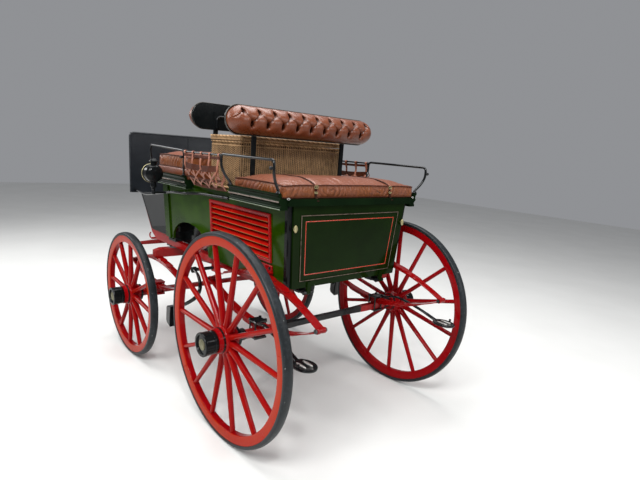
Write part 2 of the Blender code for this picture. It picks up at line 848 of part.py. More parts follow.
def wheelhouse_parts(side):
    """A wheelhouse's liner, curved over the wheel with a wall inside, and the hollow to cut from it."""
    low = SIDE_BOTTOM + 0.001
    body = slab(arch_outline(0.012, low), side, PANEL + ARCH_DEEP, PANEL + GAP)
    room = slab(arch_outline(0.002, low - 0.08), side, PANEL + ARCH_DEEP - 0.010, PANEL - 0.01)
    return body, room


def build_floor():
    """The boot's floor with its wheelhouses, hinge plates and front bulkhead, the deck, and the two sills."""
    inner = HALF_WIDTH - PANEL - GAP
    shapes = [box(tail_x(SIDE_BOTTOM) + PILLAR + 0.002, BODY_FRONT - 0.002, -inner, inner, SIDE_BOTTOM, FLOOR_TOP)]
    half = body_half(FLOOR_TOP) - PANEL - GAP
    top_half = body_half(BODY_TOP) - PANEL - GAP
    wall = [(-half, FLOOR_TOP - 0.001), (half, FLOOR_TOP - 0.001), (top_half, BODY_TOP), (-top_half, BODY_TOP)]
    shapes.append(prism(wall, "x", BODY_FRONT - 0.02, BODY_FRONT - 0.004))
    cuts = []
    for _label, side in SIDES:
        body, room = wheelhouse_parts(side)
        shapes.append(body)
        cuts.append(room)
        shapes += hinge_knuckles(side)
    piece("boot_floor", shapes, BLACK, cuts=cuts)
    deck_half = body_half(BODY_TOP) + 0.012
    deck = box(SEAT_REAR + SEAT_DEPTH + 0.002, FRONT_SEAT_BACK - 0.002, -deck_half, deck_half, BODY_TOP + GAP, DECK_TOP)
    piece("deck_board", [deck], GREEN)
    for label, side in SIDES:
        sill(label, side)


def sill(label, side):
    """A sill: it runs under the boot and the footboard, then turns up behind the toe board; it carries the brake."""
    low, high = sorted((side * (SILL_Y - SILL_WIDTH / 2), side * (SILL_Y + SILL_WIDTH / 2)))
    top = SIDE_BOTTOM - GAP
    lift = FOOTBOARD_Z - FOOTBOARD_THICK - GAP
    run, out = toe_directions()
    knee = Vector((FOOTBOARD_END + 0.002, FOOTBOARD_Z)) + out * (FOOTBOARD_THICK + GAP)
    nose = knee + run * 0.24
    under = [nose, nose + out * 0.016, knee + out * 0.03 - run * 0.02]
    outline = [
        (-0.14, SILL_BOTTOM + 0.008), (-0.125, SILL_BOTTOM), (1.545, SILL_BOTTOM),
        tuple(under[2]), tuple(under[1]), tuple(under[0]), tuple(knee),
        (FOOTBOARD_END - 0.006, lift - GAP), (BODY_FRONT + 0.012, lift), (BODY_FRONT + 0.002, top), (-0.14, top),
    ]
    hanger = box(SHAFT_X - 0.02, SHAFT_X + 0.02, low + 0.008, high - 0.008, SHAFT_Z - 0.024, SILL_BOTTOM + 0.002)
    bore = disc((SHAFT_X, SHAFT_Z), "y", SHAFT_R + RUN, low - 0.02, high + 0.02, 10)
    piece(f"sill_{label}", [prism(outline, "y", low, high), hanger], RED, cuts=[bore])


def toe_directions():
    """The directions up the toe board and square out of its front, in the side plane."""
    run = Vector((TOE_TOP_X - FOOTBOARD_END, TOE_TOP_Z - FOOTBOARD_Z))
    run.normalize()
    return run, Vector((run.y, -run.x))


# Seats

def seat_board(name, back, riser=0.0):
    """A seat board with stepped mouldings along each side, and the front one's riser under its cushion."""
    front = back + SEAT_DEPTH
    inner = SEAT_HALF - 0.06
    shapes = [box(back, front, -inner - 0.01, inner + 0.01, SEAT_BOTTOM, SEAT_TOP)]
    for _label, side in SIDES:
        profile = [
            (inner, SEAT_BOTTOM - 0.001), (inner, SEAT_TOP - 0.001), (SEAT_HALF - 0.012, SEAT_TOP - 0.001),
            (SEAT_HALF - 0.010, SIDE_MOULD_TOP), (SEAT_HALF + 0.008, SIDE_MOULD_TOP),
            (SEAT_HALF + 0.008, SIDE_MOULD_TOP - 0.010), (SEAT_HALF - 0.004, SIDE_MOULD_TOP - 0.032),
            (SEAT_HALF + 0.003, SIDE_MOULD_TOP - 0.038), (SEAT_HALF + 0.003, SIDE_MOULD_TOP - 0.045),
            (SEAT_HALF - 0.012, SIDE_MOULD_TOP - 0.064), (SEAT_HALF - 0.006, SIDE_MOULD_BOTTOM + 0.010),
            (SEAT_HALF - 0.006, SIDE_MOULD_BOTTOM), (body_half(BODY_TOP) + 0.014, SIDE_MOULD_BOTTOM),
            (body_half(BODY_TOP) + 0.014, SEAT_BOTTOM - 0.001),
        ]
        shapes.append(prism([(side * a, b) for a, b in profile], "x", back + 0.012, front - 0.004))
    if riser:
        half = CUSHION_HALF
        shapes.append(box(back + 0.016, front - 0.016, -half, half, SEAT_TOP - 0.001, SIDE_MOULD_TOP + riser))
    piece(name, shapes, GREEN)


def cushion(name, back, base_z, thick):
    """A crowned cushion whose sides draw in between its corners and bulge at mid height."""
    length = SEAT_DEPTH - 0.03
    x_mid = back + 0.016 + length / 2
    across = 12
    along = 6
    draw = 0.012

    def side_point(u, v, share):
        """A point of the boxing, where u and v run round the edge from -1 to 1."""
        swell = 0.005 * math.sin(math.pi * share)
        px = (length / 2 - draw * (1 - v * v) * (abs(u) == 1) + swell) * u
        py = (CUSHION_HALF - draw * (1 - u * u) * (abs(v) == 1) + swell) * v
        return (x_mid + px, py, base_z + thick * share)

    us = [-1 + 2 * i / along for i in range(along + 1)]
    vs = [-1 + 2 * i / across for i in range(across + 1)]
    edge = [(u, -1.0) for u in us[:-1]] + [(1.0, v) for v in vs[:-1]]
    edge += [(u, 1.0) for u in reversed(us[1:])] + [(-1.0, v) for v in reversed(vs[1:])]
    count = len(edge)
    points = []
    for share in (0.0, 0.2, 0.8, 1.0):
        points += [side_point(u, v, share) for u, v in edge]
    faces = [tuple(range(count))]
    for level in range(3):
        low = level * count
        for j in range(count):
            k = (j + 1) % count
            faces.append((low + j, low + k, low + count + k, low + count + j))
    index = {spot: 3 * count + j for j, spot in enumerate(edge)}
    for u in us[1:-1]:
        for v in vs[1:-1]:
            index[(u, v)] = len(points)
            crown = CUSHION_CROWN * (1 - u**4) * (1 - v**6)
            points.append((x_mid + length / 2 * u, CUSHION_HALF * v, base_z + thick + crown))
    for i in range(along):
        for j in range(across):
            spots = ((i, j), (i + 1, j), (i + 1, j + 1), (i, j + 1))
            faces.append(tuple(index[(us[a], vs[b])] for a, b in spots))
    piece(name, [closed(points, faces)], LEATHER, smooth=60)


def tufted_roll(name, back_x, z_mid, half, facing):
    """A round-ended roll with two staggered rows of sewn buttons; facing is -1 where it looks to the rear."""
    radius = ROLL_HEIGHT / 2
    buttons = int(round(2 * (half - radius * 0.9) / BUTTON_PITCH)) + 1
    pitch = BUTTON_PITCH
    rows = 6
    columns = 4 * buttons
    spots = []
    for k in range(buttons):
        spots.append(((k - (buttons - 1) / 2) * pitch, BUTTON_HIGH))
        if k:
            spots.append(((k - buttons / 2) * pitch, BUTTON_LOW))

    def reach(y):
        """Half the roll's height at y."""
        inside = abs(y) - (half - radius)
        return radius if inside <= 0 else math.sqrt(max(radius * radius - inside * inside, 1e-6))

    def depth(y, w):
        """How far the leather stands off its board, drawn in at each button."""
        edge = min((half - abs(y)) / radius, 1)
        ends = math.sqrt(max(1 - (1 - edge) ** 2, 0))
        full = ROLL_DEPTH * math.sqrt(1 - w * w * 0.92) * (0.35 + 0.65 * ends)
        for sy, sw in spots:
            away = math.hypot((y - sy) / (pitch * 0.36), (w - sw) / 0.34)
            full -= 0.021 * math.exp(-away * away)
        return max(full, 0.012)

    sections = []
    for i in range(columns + 1):
        t = -1 + 2 * i / columns
        y = (half - 0.0015) * math.copysign(1 - (1 - abs(t)) ** 1.12, t)
        strip = []
        for j in range(rows + 1):
            w = -1 + 2 * j / rows
            strip.append((back_x + facing * depth(y, w), y, z_mid + reach(y) * w))
        sections.append([*strip, (back_x, y, z_mid + reach(y)), (back_x, y, z_mid - reach(y))])
    piece(name, [loft(sections)], LEATHER, smooth=75)


def backboard(name, x, z_mid, half, facing, foot_end):
    """The board behind a roll, with its two posts, their feet and the iron arch that braces them."""
    seat_z = DECK_TOP + GAP
    board = sorted((x, x - facing * BACKBOARD))
    radius = ROLL_HEIGHT / 2 + 0.004
    right = arc(half - radius + 0.004, z_mid, radius, radius, -90, 90, 7)
    left = arc(-half + radius - 0.004, z_mid, radius, radius, 90, 270, 7)
    shapes = [prism(right + left, "x", board[0], board[1])]
    post = sorted((x - facing * (BACKBOARD - 0.001), x - facing * (BACKBOARD + POST_THICK)))
    for _label, side in SIDES:
        y = side * POST_Y
        shapes.append(box(post[0], post[1], y - POST_WIDTH / 2, y + POST_WIDTH / 2, seat_z, z_mid + 0.03))
        foot = sorted((x - facing * (BACKBOARD + 0.003), foot_end))
        shapes.append(box(foot[0], foot[1], y - POST_WIDTH / 2 - 0.003, y + POST_WIDTH / 2 + 0.003, seat_z, seat_z + 0.007))
    brace_x = x - facing * (BACKBOARD + 0.004)
    brace = [(brace_x, y, z) for y, z in arc(0, z_mid - 0.055, 0.14, 0.075, 0, 180, 8)]
    shapes.append(sweep(brace, round_section(0.007, 6)))
    piece(name, shapes, BLACK)


def build_seats():
    """Rear seat facing back, front seat facing forward, each with cushion, roll and board."""
    seat_board("rear_seat_board", SEAT_REAR)
    seat_board("front_seat_board", FRONT_SEAT_BACK, RISER)
    cushion("rear_cushion", SEAT_REAR, SEAT_TOP + GAP, CUSHION_THICK)
    cushion("front_cushion", FRONT_SEAT_BACK, SIDE_MOULD_TOP + RISER + GAP, CUSHION_THICK + 0.012)
    tufted_roll("rear_back_roll", ROLL_BACK_X, ROLL_Z, ROLL_HALF, -1)
    tufted_roll("front_back_roll", FRONT_ROLL_BACK_X, FRONT_ROLL_Z, FRONT_ROLL_HALF, 1)
    backboard("rear_backboard", ROLL_BACK_X + GAP, ROLL_Z, ROLL_HALF, -1, ROLL_BACK_X + 0.056)
    backboard("front_backboard", FRONT_ROLL_BACK_X - GAP, FRONT_ROLL_Z, FRONT_ROLL_HALF, 1, FRONT_SEAT_BACK - 0.004)


# Tailboard

def tail_slab(low, high, margin, x_back, x_front):
    """A slab of the tailboard between two heights, held in from the pillars by a margin."""
    sections = []
    for z in (low, high):
        half = body_half(z) - PILLAR - margin
        back = tail_x(z)
        sections.append([
            (back + x_back, -half, z), (back + x_back, half, z), (back + x_front, half, z), (back + x_front, -half, z),
        ])
    return loft(sections)


def build_tailboard():
    """The tailboard with its bead, hinge straps and stays, and its two thumb turns."""
    low = SIDE_BOTTOM + 0.003
    high = BODY_TOP - 0.002
    board = tail_slab(low, high, RUN, -0.010, TAIL_THICK - 0.010)
    bead = combined(
        tail_slab(low + 0.036, high - 0.046, 0.048, -0.0135, -0.006),
        tail_slab(low + 0.043, high - 0.053, 0.055, -0.03, 0.0),
        "DIFFERENCE",
    )
    shapes = [board, bead]
    cuts = []
    for _label, side in SIDES:
        y = side * HINGE_Y
        shapes.append(box(TAIL_AXIS_X - 0.012, TAIL_AXIS_X + 0.002, y - 0.012, y + 0.012, TAIL_AXIS_Z, low + 0.03))
        shapes.append(disc((TAIL_AXIS_X, TAIL_AXIS_Z), "y", 0.0115, y - 0.012, y + 0.012, 8))
        cuts.append(disc((TAIL_AXIS_X, TAIL_AXIS_Z), "y", 0.0055 + RUN, y - 0.03, y + 0.03, 8))
        outer = arc(TAIL_AXIS_X, TAIL_AXIS_Z, STAY_R + 0.008, STAY_R + 0.008, 91, 14, 8)
        inner = arc(TAIL_AXIS_X, TAIL_AXIS_Z, STAY_R - 0.008, STAY_R - 0.008, 14, 91, 8)
        stay_y = side * (HALF_WIDTH - PILLAR - 0.03)
        shapes.append(prism(outer + inner, "y", stay_y - 0.003, stay_y + 0.003))
    piece("tailboard", shapes, GREEN, "tailboard_hinge", cuts=cuts)
    for label, side in SIDES:
        x, y, z = turn_centre(side)
        grip = arc(y, z, 0.0095, 0.02, 0, 360, 10)[:-1]
        turn = [disc((y, z), "x", 0.0085, x - 0.012, x, 10), prism(grip, "x", x - 0.014, x - 0.005)]
        piece(f"thumb_turn_{label}", turn, BRASS, f"{label}_turn")


def hinge_knuckles(side):
    """The fixed half of a tailboard hinge: two knuckles and a pin, on a plate under the floor."""
    y = side * HINGE_Y
    shapes = [disc((TAIL_AXIS_X, TAIL_AXIS_Z), "y", 0.0055, y - 0.03, y + 0.03, 8)]
    for end in (-1, 1):
        a, b = sorted((y + end * (0.012 + RUN), y + end * 0.03))
        shapes.append(disc((TAIL_AXIS_X, TAIL_AXIS_Z), "y", 0.0115, a, b, 8))
        shapes.append(box(TAIL_AXIS_X, TAIL_AXIS_X + 0.05, a, b, TAIL_AXIS_Z - 0.0055, TAIL_AXIS_Z + 0.0055))
    shapes.append(box(TAIL_AXIS_X + 0.035, TAIL_AXIS_X + 0.09, y - 0.032, y + 0.032, TAIL_AXIS_Z - 0.008, SIDE_BOTTOM + 0.001))
    return shapes


# Side irons

def seat_rail(side, back, front, back_foot, front_foot, rise):
    """A seat rail: one bent round iron with a leg and a foot plate at each end, and a knob on its back leg."""
    y = side * RAIL_Y
    foot_y = side * (SEAT_HALF + 0.001)
    base = SIDE_MOULD_TOP + GAP
    top = RAIL_Z
    bend_r = 0.026
    mid_y = side * (RAIL_Y - 0.019)
    path = [
        (back_foot, foot_y, base), (back_foot, foot_y, base + 0.012),
        (back + (back_foot - back) * 0.4, mid_y, base + 0.055),
        (back, y, top - bend_r - 0.035), (back, y, top - bend_r), (back + bend_r * 0.3, y, top - bend_r * 0.3),
        (back + bend_r, y, top), (front - bend_r, y, top + rise), (front - bend_r * 0.3, y, top + rise - bend_r * 0.3),
        (front, y, top + rise - bend_r), (front, y, top + rise - bend_r - 0.035),
        (front + (front_foot - front) * 0.5, mid_y, base + 0.055),
        (front_foot, foot_y, base + 0.012), (front_foot, foot_y, base),
    ]
    shapes = [sweep(path, round_section(RAIL_R, 6), flat=(0, 1, 0))]
    for foot in (back_foot, front_foot):
        shapes.append(disc((foot, foot_y), "z", 0.0125, base, base + 0.006, 6))
    knob = sorted((y, y + side * 0.026))
    shapes.append(disc((back, top - bend_r - 0.012), "y", 0.0085, knob[0], knob[1], 6, 10))
    return shapes


def build_rails():
    """On each side: the two seat rails with the bar between them, the strap net, the wing iron and the lamp."""
    for label, side in SIDES:
        irons = seat_rail(side, RAIL_REAR_X, RAIL_FRONT_X, SEAT_REAR + 0.025, SEAT_REAR + SEAT_DEPTH - 0.02, 0.003)
        irons += seat_rail(
            side, FRONT_RAIL_BACK_X, FRONT_RAIL_NOSE_X, FRONT_SEAT_BACK + 0.028, FRONT_SEAT_BACK + SEAT_DEPTH - 0.03, 0.018
        )
        bar_z = RAIL_Z - 0.004
        bar = disc((side * RAIL_Y, bar_z), "x", 0.0055, RAIL_FRONT_X - 0.03, FRONT_RAIL_BACK_X + 0.03, 6)
        piece(f"seat_rails_{label}", [*irons, bar], BLACK)
        strap_net(label, side, bar_z - 0.0055 - GAP)
        wing_iron(label, side)
        lamp(label, side)


def strap_net(label, side, top):
    """A leather strap net hung from the bar: upright straps crossed by level ones, bellied out, gathered in below."""
    bottom = DECK_TOP + 0.004
    x0 = RAIL_FRONT_X + RAIL_R + 0.002
    x1 = FRONT_RAIL_BACK_X - RAIL_R - 0.002
    half = NET_STRAP_WIDTH / 2
    middle_x = (x0 + x1) / 2
    xs = []
    for k in range(NET_STRAPS):
        middle = x0 + half + (x1 - x0 - NET_STRAP_WIDTH) * k / (NET_STRAPS - 1)
        xs += [middle - half, middle + half]
    zs = []
    for share in NET_LEVELS:
        middle = top - half - (top - bottom - NET_STRAP_WIDTH) * share
        zs += [middle + half, middle - half]

    def place(x, z, depth):
        down = (top - z) / (top - bottom)
        belly = 0.022 * math.sin(math.pi * down) - 0.062 * down**1.5
        gather = 1 - 0.1 * down
        return (middle_x + (x - middle_x) * gather, side * (RAIL_Y - NET_THICK / 2 + belly + depth), z)

    nx, nz = len(xs), len(zs)
    points = [place(x, z, depth) for depth in (0.0, NET_THICK) for x in xs for z in zs]
    solid = {(i, j) for i in range(nx - 1) for j in range(nz - 1) if i % 2 == 0 or j % 2 == 0}

    def at(layer, i, j):
        return (layer * nx + i) * nz + j

    faces = []
    for i, j in sorted(solid):
        faces.append((at(0, i, j), at(0, i + 1, j), at(0, i + 1, j + 1), at(0, i, j + 1)))
        faces.append((at(1, i, j), at(1, i, j + 1), at(1, i + 1, j + 1), at(1, i + 1, j)))
        for di, dj, a, b in (
            (-1, 0, (i, j), (i, j + 1)), (1, 0, (i + 1, j + 1), (i + 1, j)),
            (0, -1, (i + 1, j), (i, j)), (0, 1, (i, j + 1), (i + 1, j + 1)),
        ):
            if (i + di, j + dj) not in solid:
                faces.append((at(0, *a), at(0, *b), at(1, *b), at(1, *a)))
    piece(f"strap_net_{label}", [closed(points, faces)], STRAP, smooth=0)


def wing_iron(label, side):
    """The curved iron that runs forward from the deck's edge under the front seat and carries the lamp's socket."""
    edge = body_half(1.24)
    y = side * (SEAT_HALF + WING_STAND)
    path = bend([
        (0.37, side * (edge + 0.0085), 1.243),
        (0.47, side * (edge + 0.0125), 1.241),
        (0.665, side * 0.485, 1.236),
        (0.8, side * (SEAT_HALF + WING_STAND - 0.005), 1.226),
        (0.98, y, 1.214),
        (1.169, y, 1.186),
        (1.45, side * (SEAT_HALF + WING_STAND - 0.015), 1.15),
        (TOE_TOP_X - GAP / 2, side * (DASH_HALF - 0.025), TOE_TOP_Z + 0.03),
    ], 2)
    shapes = [sweep(path, round_section(0.008, 6), flat=(0, 1, 0))]
    arm = sorted((side * (SEAT_HALF + WING_STAND - 0.005), side * (LAMP_Y + 0.004)))
    shapes.append(box(LAMP_X - 0.007, LAMP_X + 0.007, arm[0], arm[1], 1.196, 1.208))
    shapes.append(disc((LAMP_X, side * LAMP_Y), "z", 0.012, 1.190, SOCKET_TOP, 8))
    piece(f"wing_iron_{label}", shapes, BLACK)


def upright(profile, x, y, sides):
    """A turned shape on a vertical axis, from (radius, z) points."""
    return moved(revolve([(r, z) for r, z in profile], sides), Matrix.Translation((x, y, 0)) @ Matrix.Rotation(math.pi / 2, 4, "X"))


def lamp(label, side):
    """A round carriage lamp: a drum with a rim at its front, a chimney above and a candle tube below."""
    y = side * LAMP_Y
    place = Matrix.Translation((LAMP_X, y, LAMP_Z)) @ Matrix.Rotation(-math.pi / 2, 4, "Z")
    drum = revolve([
        (0, -0.042), (LAMP_R * 0.6, -0.04), (LAMP_R * 0.96, -0.024), (LAMP_R, 0.036), (LAMP_R * 1.06, 0.04),
        (LAMP_R * 1.06, 0.048), (LAMP_R * 0.86, 0.048), (LAMP_R * 0.82, 0.040), (0, 0.046),
    ], 14)
    low = SOCKET_TOP + GAP
    tube = [(0, low), (0.009, low), (0.019, low + 0.016), (0.019, LAMP_Z - 0.03), (0, LAMP_Z - 0.03)]
    chimney = [
        (0, LAMP_Z + 0.03), (0.023, LAMP_Z + 0.03), (0.02, LAMP_Z + 0.074), (0.03, LAMP_Z + 0.08), (0.012, LAMP_Z + 0.098), (0, LAMP_Z + 0.1),
    ]
    shapes = [moved(drum, place), upright(tube, LAMP_X, y, 8), upright(chimney, LAMP_X, y, 8)]
    piece(f"lamp_{label}", shapes, BLACK)


# Hamper

def build_hamper():
    """The wicker hamper: an open basket on the deck and its hinged lid."""
    base = DECK_TOP + GAP
    top = base + HAMPER_HEIGHT
    lip = 0.004
    shapes = [
        box(HAMPER_BACK, HAMPER_FRONT, -HAMPER_HALF, HAMPER_HALF, base, top),
        box(HAMPER_BACK - lip, HAMPER_FRONT + lip, -HAMPER_HALF - lip, HAMPER_HALF + lip, top - 0.02, top),
        box(HAMPER_BACK - lip, HAMPER_FRONT + lip, -HAMPER_HALF - lip, HAMPER_HALF + lip, base, base + 0.016),
    ]
    w = HAMPER_WALL
    room = box(HAMPER_BACK + w, HAMPER_FRONT - w, -HAMPER_HALF + w, HAMPER_HALF - w, base + w, top + 0.1)
    piece("hamper_basket", shapes, WICKER, cuts=[room])
    over = 0.008
    lid = box(HAMPER_BACK - lip, HAMPER_FRONT + over, -HAMPER_HALF - over, HAMPER_HALF + over, top + RUN, top + LID_THICK)
    piece("hamper_lid", [lid], WICKER, "hamper_hinge")


# Front end

def build_front():
    """The footboard with its toe board, and the dash."""
    run, out = toe_directions()
    low = Vector((FOOTBOARD_END + 0.002, FOOTBOARD_Z))
    high = Vector((TOE_TOP_X, TOE_TOP_Z))
    thick = out * FOOTBOARD_THICK
    under = FOOTBOARD_Z - FOOTBOARD_THICK
    outline = [
        (BODY_FRONT + GAP, under), (FOOTBOARD_END - 0.006, under), tuple(low + thick), tuple(high + thick), tuple(high),
        tuple(low), (FOOTBOARD_END, FOOTBOARD_Z), (BODY_FRONT + GAP, FOOTBOARD_Z),
    ]
    piece("footboard", [prism(outline, "y", -FOOTBOARD_HALF, FOOTBOARD_HALF)], BLACK)
    t = DASH_THICK / 2
    base_z = TOE_TOP_Z + GAP
    base_x = TOE_TOP_X + 0.007
    rim = 0.009
    sections = []
    for z, x in ((base_z, base_x), (DASH_TOP_Z - rim, DASH_TOP_X)):
        sections.append([(x - t, -DASH_HALF, z), (x - t, DASH_HALF, z), (x + t, DASH_HALF, z), (x + t, -DASH_HALF, z)])
    corner = 0.03
    route = [
        (base_x, -DASH_HALF, base_z), (DASH_TOP_X, -DASH_HALF, DASH_TOP_Z - rim - corner),
        (DASH_TOP_X, -DASH_HALF + corner * 0.3, DASH_TOP_Z - rim - corner * 0.3),
        (DASH_TOP_X, -DASH_HALF + corner, DASH_TOP_Z - rim), (DASH_TOP_X, DASH_HALF - corner, DASH_TOP_Z - rim),
        (DASH_TOP_X, DASH_HALF - corner * 0.3, DASH_TOP_Z - rim - corner * 0.3),
        (DASH_TOP_X, DASH_HALF, DASH_TOP_Z - rim - corner), (base_x, DASH_HALF, base_z),
    ]
    shapes = [loft(sections), sweep(route, round_section(rim, 6), flat=(1, 0, 0))]
    seam = [(base_x - t, 0, base_z + 0.012), (DASH_TOP_X - t, 0, DASH_TOP_Z - rim)]
    shapes.append(sweep(seam, round_section(0.004, 6), flat=(0, 1, 0)))
    below = box(TOE_TOP_X - 0.05, TOE_TOP_X + 0.08, -DASH_HALF - 0.05, DASH_HALF + 0.05, base_z - 0.05, base_z)
    piece("dash_panel", shapes, BLACK, cuts=[below])


# Turntable and fore-carriage

def ring(z0, z1):
    """A flat ring round the king pin."""
    centre = Matrix.Translation((WHEELBASE, 0, 0)) @ Matrix.Rotation(math.pi / 2, 4, "X")
    inner = RING_R - RING_WIDTH
    return moved(revolve([(inner, z0), (RING_R, z0), (RING_R, z1), (inner, z1)], 24, loop=True), centre)


def build_turntable():
    """The upper plate on the body, and the fore-carriage's ring, transom, futchells and splinter bar."""
    hole = disc((WHEELBASE, 0), "z", KING_PIN_R + RUN, 0.6, 0.9, 10)
    spread = RING_R - RING_WIDTH / 2
    upper = [
        ring(RING_MEET, RING_TOP),
        box(WHEELBASE - spread, WHEELBASE + spread, -0.03, 0.03, RING_MEET + 0.001, RING_TOP - 0.001),
        box(WHEELBASE - 0.03, WHEELBASE + 0.03, -SILL_Y - 0.02, SILL_Y + 0.02, RING_MEET + 0.002, RING_TOP),
    ]
    piece("turntable_plate", upper, BLACK, cuts=[hole])
    w = TRANSOM_WIDTH / 2
    transom = loft([
        [(WHEELBASE - a, y, TRANSOM_BOTTOM), (WHEELBASE + a, y, TRANSOM_BOTTOM), (WHEELBASE + a, y, b), (WHEELBASE - a, y, b)]
        for y, a, b in (
            (-TRANSOM_HALF, w * 0.8, TRANSOM_TOP - 0.012), (-TRANSOM_HALF + 0.05, w, TRANSOM_TOP),
            (TRANSOM_HALF - 0.05, w, TRANSOM_TOP), (TRANSOM_HALF, w * 0.8, TRANSOM_TOP - 0.012),
        )
    ])
    shapes = [
        ring(LOWER_RING_BOTTOM, RING_MEET - GAP),
        box(WHEELBASE - spread, WHEELBASE + spread, -0.03, 0.03, LOWER_RING_BOTTOM + 0.001, RING_MEET - GAP - 0.001),
        transom,
        disc((WHEELBASE, 0), "z", KING_PIN_R, TRANSOM_TOP - 0.01, RING_TOP + 0.012, 10),
        disc((WHEELBASE, 0), "z", KING_PIN_R + 0.012, RING_TOP + GAP, RING_TOP + 0.014, 6),
    ]
    for _label, side in SIDES:
        y = side * FUTCHELL_Y
        outline = [
            (FUTCHELL_BACK, FUTCHELL_TOP - 0.012), (FUTCHELL_BACK + 0.02, FUTCHELL_TOP - 0.03), (1.2, FUTCHELL_TOP - 0.045),
            (1.45, FUTCHELL_TOP - 0.045), (SPLINTER_X + 0.02, FUTCHELL_TOP - 0.034), (SPLINTER_X + 0.02, FUTCHELL_TOP),
            (FUTCHELL_BACK, FUTCHELL_TOP),
        ]
        shapes.append(prism(outline, "y", y - 0.018, y + 0.018))
        stay_end = WHEELBASE - spread * 0.82
        shapes.append(box(stay_end - 0.012, stay_end + 0.012, y - 0.012, y + 0.012, FUTCHELL_TOP - 0.01, LOWER_RING_BOTTOM + 0.002))
    bar_z = FUTCHELL_TOP - 0.001
    shapes.append(loft([
        [(SPLINTER_X - a, y, bar_z), (SPLINTER_X + a, y, bar_z), (SPLINTER_X + a, y, bar_z + b), (SPLINTER_X - a, y, bar_z + b)]
        for y, a, b in ((-SPLINTER_HALF, 0.012, 0.024), (-0.2, 0.019, 0.036), (0.2, 0.019, 0.036), (SPLINTER_HALF, 0.012, 0.024))
    ]))
    shapes.append(box(SPLINTER_X, SWINGLE_X, -0.022, 0.022, bar_z + 0.002, bar_z + 0.010))
    shapes.append(disc((SWINGLE_X, 0), "z", 0.022, bar_z + 0.002, bar_z + 0.010, 10))
    shapes.append(disc((SWINGLE_X, 0), "z", 0.007, bar_z + 0.004, bar_z + 0.048, 8))
    piece("fore_carriage_frame", shapes, RED, "fore_carriage")
    swingle(bar_z + 0.010 + GAP + 0.014)


def swingle(z):
    """The swingletree: a tapered bar on a pivot, with a trace hook at each end."""
    sections = []
    for y, a, b in (
        (-SWINGLE_HALF, 0.009, 0.009), (-0.15, 0.015, 0.013), (-0.03, 0.021, 0.014), (0.03, 0.021, 0.014),
        (0.15, 0.015, 0.013), (SWINGLE_HALF, 0.009, 0.009),
    ):
        sections.append([(SWINGLE_X + a * c, y, z + b * s) for c, s in arc(0, 0, 1, 1, 30, 390, 6)[:-1]])
    shapes = [loft(sections)]
    for side in (-1, 1):
        y = side * (SWINGLE_HALF - 0.007)
        hook = [
            (SWINGLE_X + 0.001, y, z), (SWINGLE_X + 0.036, y, z), (SWINGLE_X + HOOK_OUT, y, z + 0.012),
            (SWINGLE_X + HOOK_OUT, y, z + 0.03), (SWINGLE_X + 0.036, y, z + 0.042),
        ]
        shapes.append(sweep(hook, round_section(HOOK_R, 6), flat=(0, 1, 0)))
    piece("swingletree", shapes, RED, "swingle_pivot", cuts=[disc((SWINGLE_X, 0), "z", 0.007 + RUN, z - 0.05, z + 0.05, 8)])


# Brake

def build_brake():
    """Cross shaft with its block arms and blocks, the rod, the hand lever on the right and its quadrant."""
    shapes = [disc((SHAFT_X, SHAFT_Z), "y", SHAFT_R, -0.532, 0.532, 8)]
    for _label, side in SIDES:
        route = [
            (SHAFT_X, side * 0.521, SHAFT_Z), (0.585, side * 0.53, 0.742), (0.52, side * 0.547, 0.69),
            (0.51, side * 0.572, 0.635), (0.553, side * 0.6, 0.588), (0.612, side * 0.632, 0.548), (0.634, side * 0.672, 0.512),
        ]
        shapes.append(sweep(route, flat_section(0.026, 0.011), flat=(0, 0.8, 0.6)))
        shapes.append(disc((SHAFT_X, SHAFT_Z), "y", 0.019, *sorted((side * 0.505, side * 0.534)), 8))
        block = [*block_face(), (0.652, BLOCK_Z[-1] - 0.02), (0.652, BLOCK_Z[0])]
        shapes.append(prism(block, "y", side * TRACK_HALF - 0.024 + side * 0.003, side * TRACK_HALF + 0.024 + side * 0.003))
    lean = math.radians(SHAFT_LEAN)
    top = Vector((SHAFT_X - math.sin(lean) * ARM_UP, -LEVER_Y, SHAFT_Z + math.cos(lean) * ARM_UP))
    foot = Vector((SHAFT_X, -LEVER_Y, SHAFT_Z))
    shapes.append(sweep([foot, top], flat_section(0.008, 0.022), flat=(0, 1, 0)))
    shapes.append(disc((top.x, top.z), "y", 0.012, -LEVER_Y - 0.004, -LEVER_Y + 0.004, 8))
    shapes.append(disc((top.x, top.z), "y", BRAKE_PIN_R, -LEVER_Y, -LEVER_Y + 0.022, 8))
    piece("brake_shaft", shapes, BLACK, "brake_axis")
    piece("brake_rod", rod_shapes(top), BLACK, "rod_pin", cuts=[
        disc((top.x, top.z), "y", BRAKE_PIN_R + 0.0018, -0.6, -0.4, 8),
        disc((rod_pin().x, rod_pin().z), "y", BRAKE_PIN_R + RUN, -0.6, -0.4, 8),
    ])
    lever()


def block_face():
    """A block's face: the tyre's tread with a little room, turned back about the shaft by the swing that brings it on."""
    back = Matrix.Rotation(-math.radians(LEVER_SWING * LEVER_DROP / ARM_UP), 4, "Y")
    reach = REAR_WHEEL_R + BLOCK_GAP
    points = []
    for z in BLOCK_Z:
        met = Vector((math.sqrt(reach**2 - (z - REAR_WHEEL_R) ** 2) - SHAFT_X, 0, z - SHAFT_Z))
        off = back @ met
        points.append((off.x + SHAFT_X, off.z + SHAFT_Z))
    return points


def rod_pin():
    """Where the lever's lower pin stands with the brake off: the arm leans back half its swing."""
    lean = math.radians(LEVER_SWING / 2)
    return Vector((LEVER_X - math.sin(lean) * LEVER_DROP, -LEVER_Y, LEVER_Z - math.cos(lean) * LEVER_DROP))


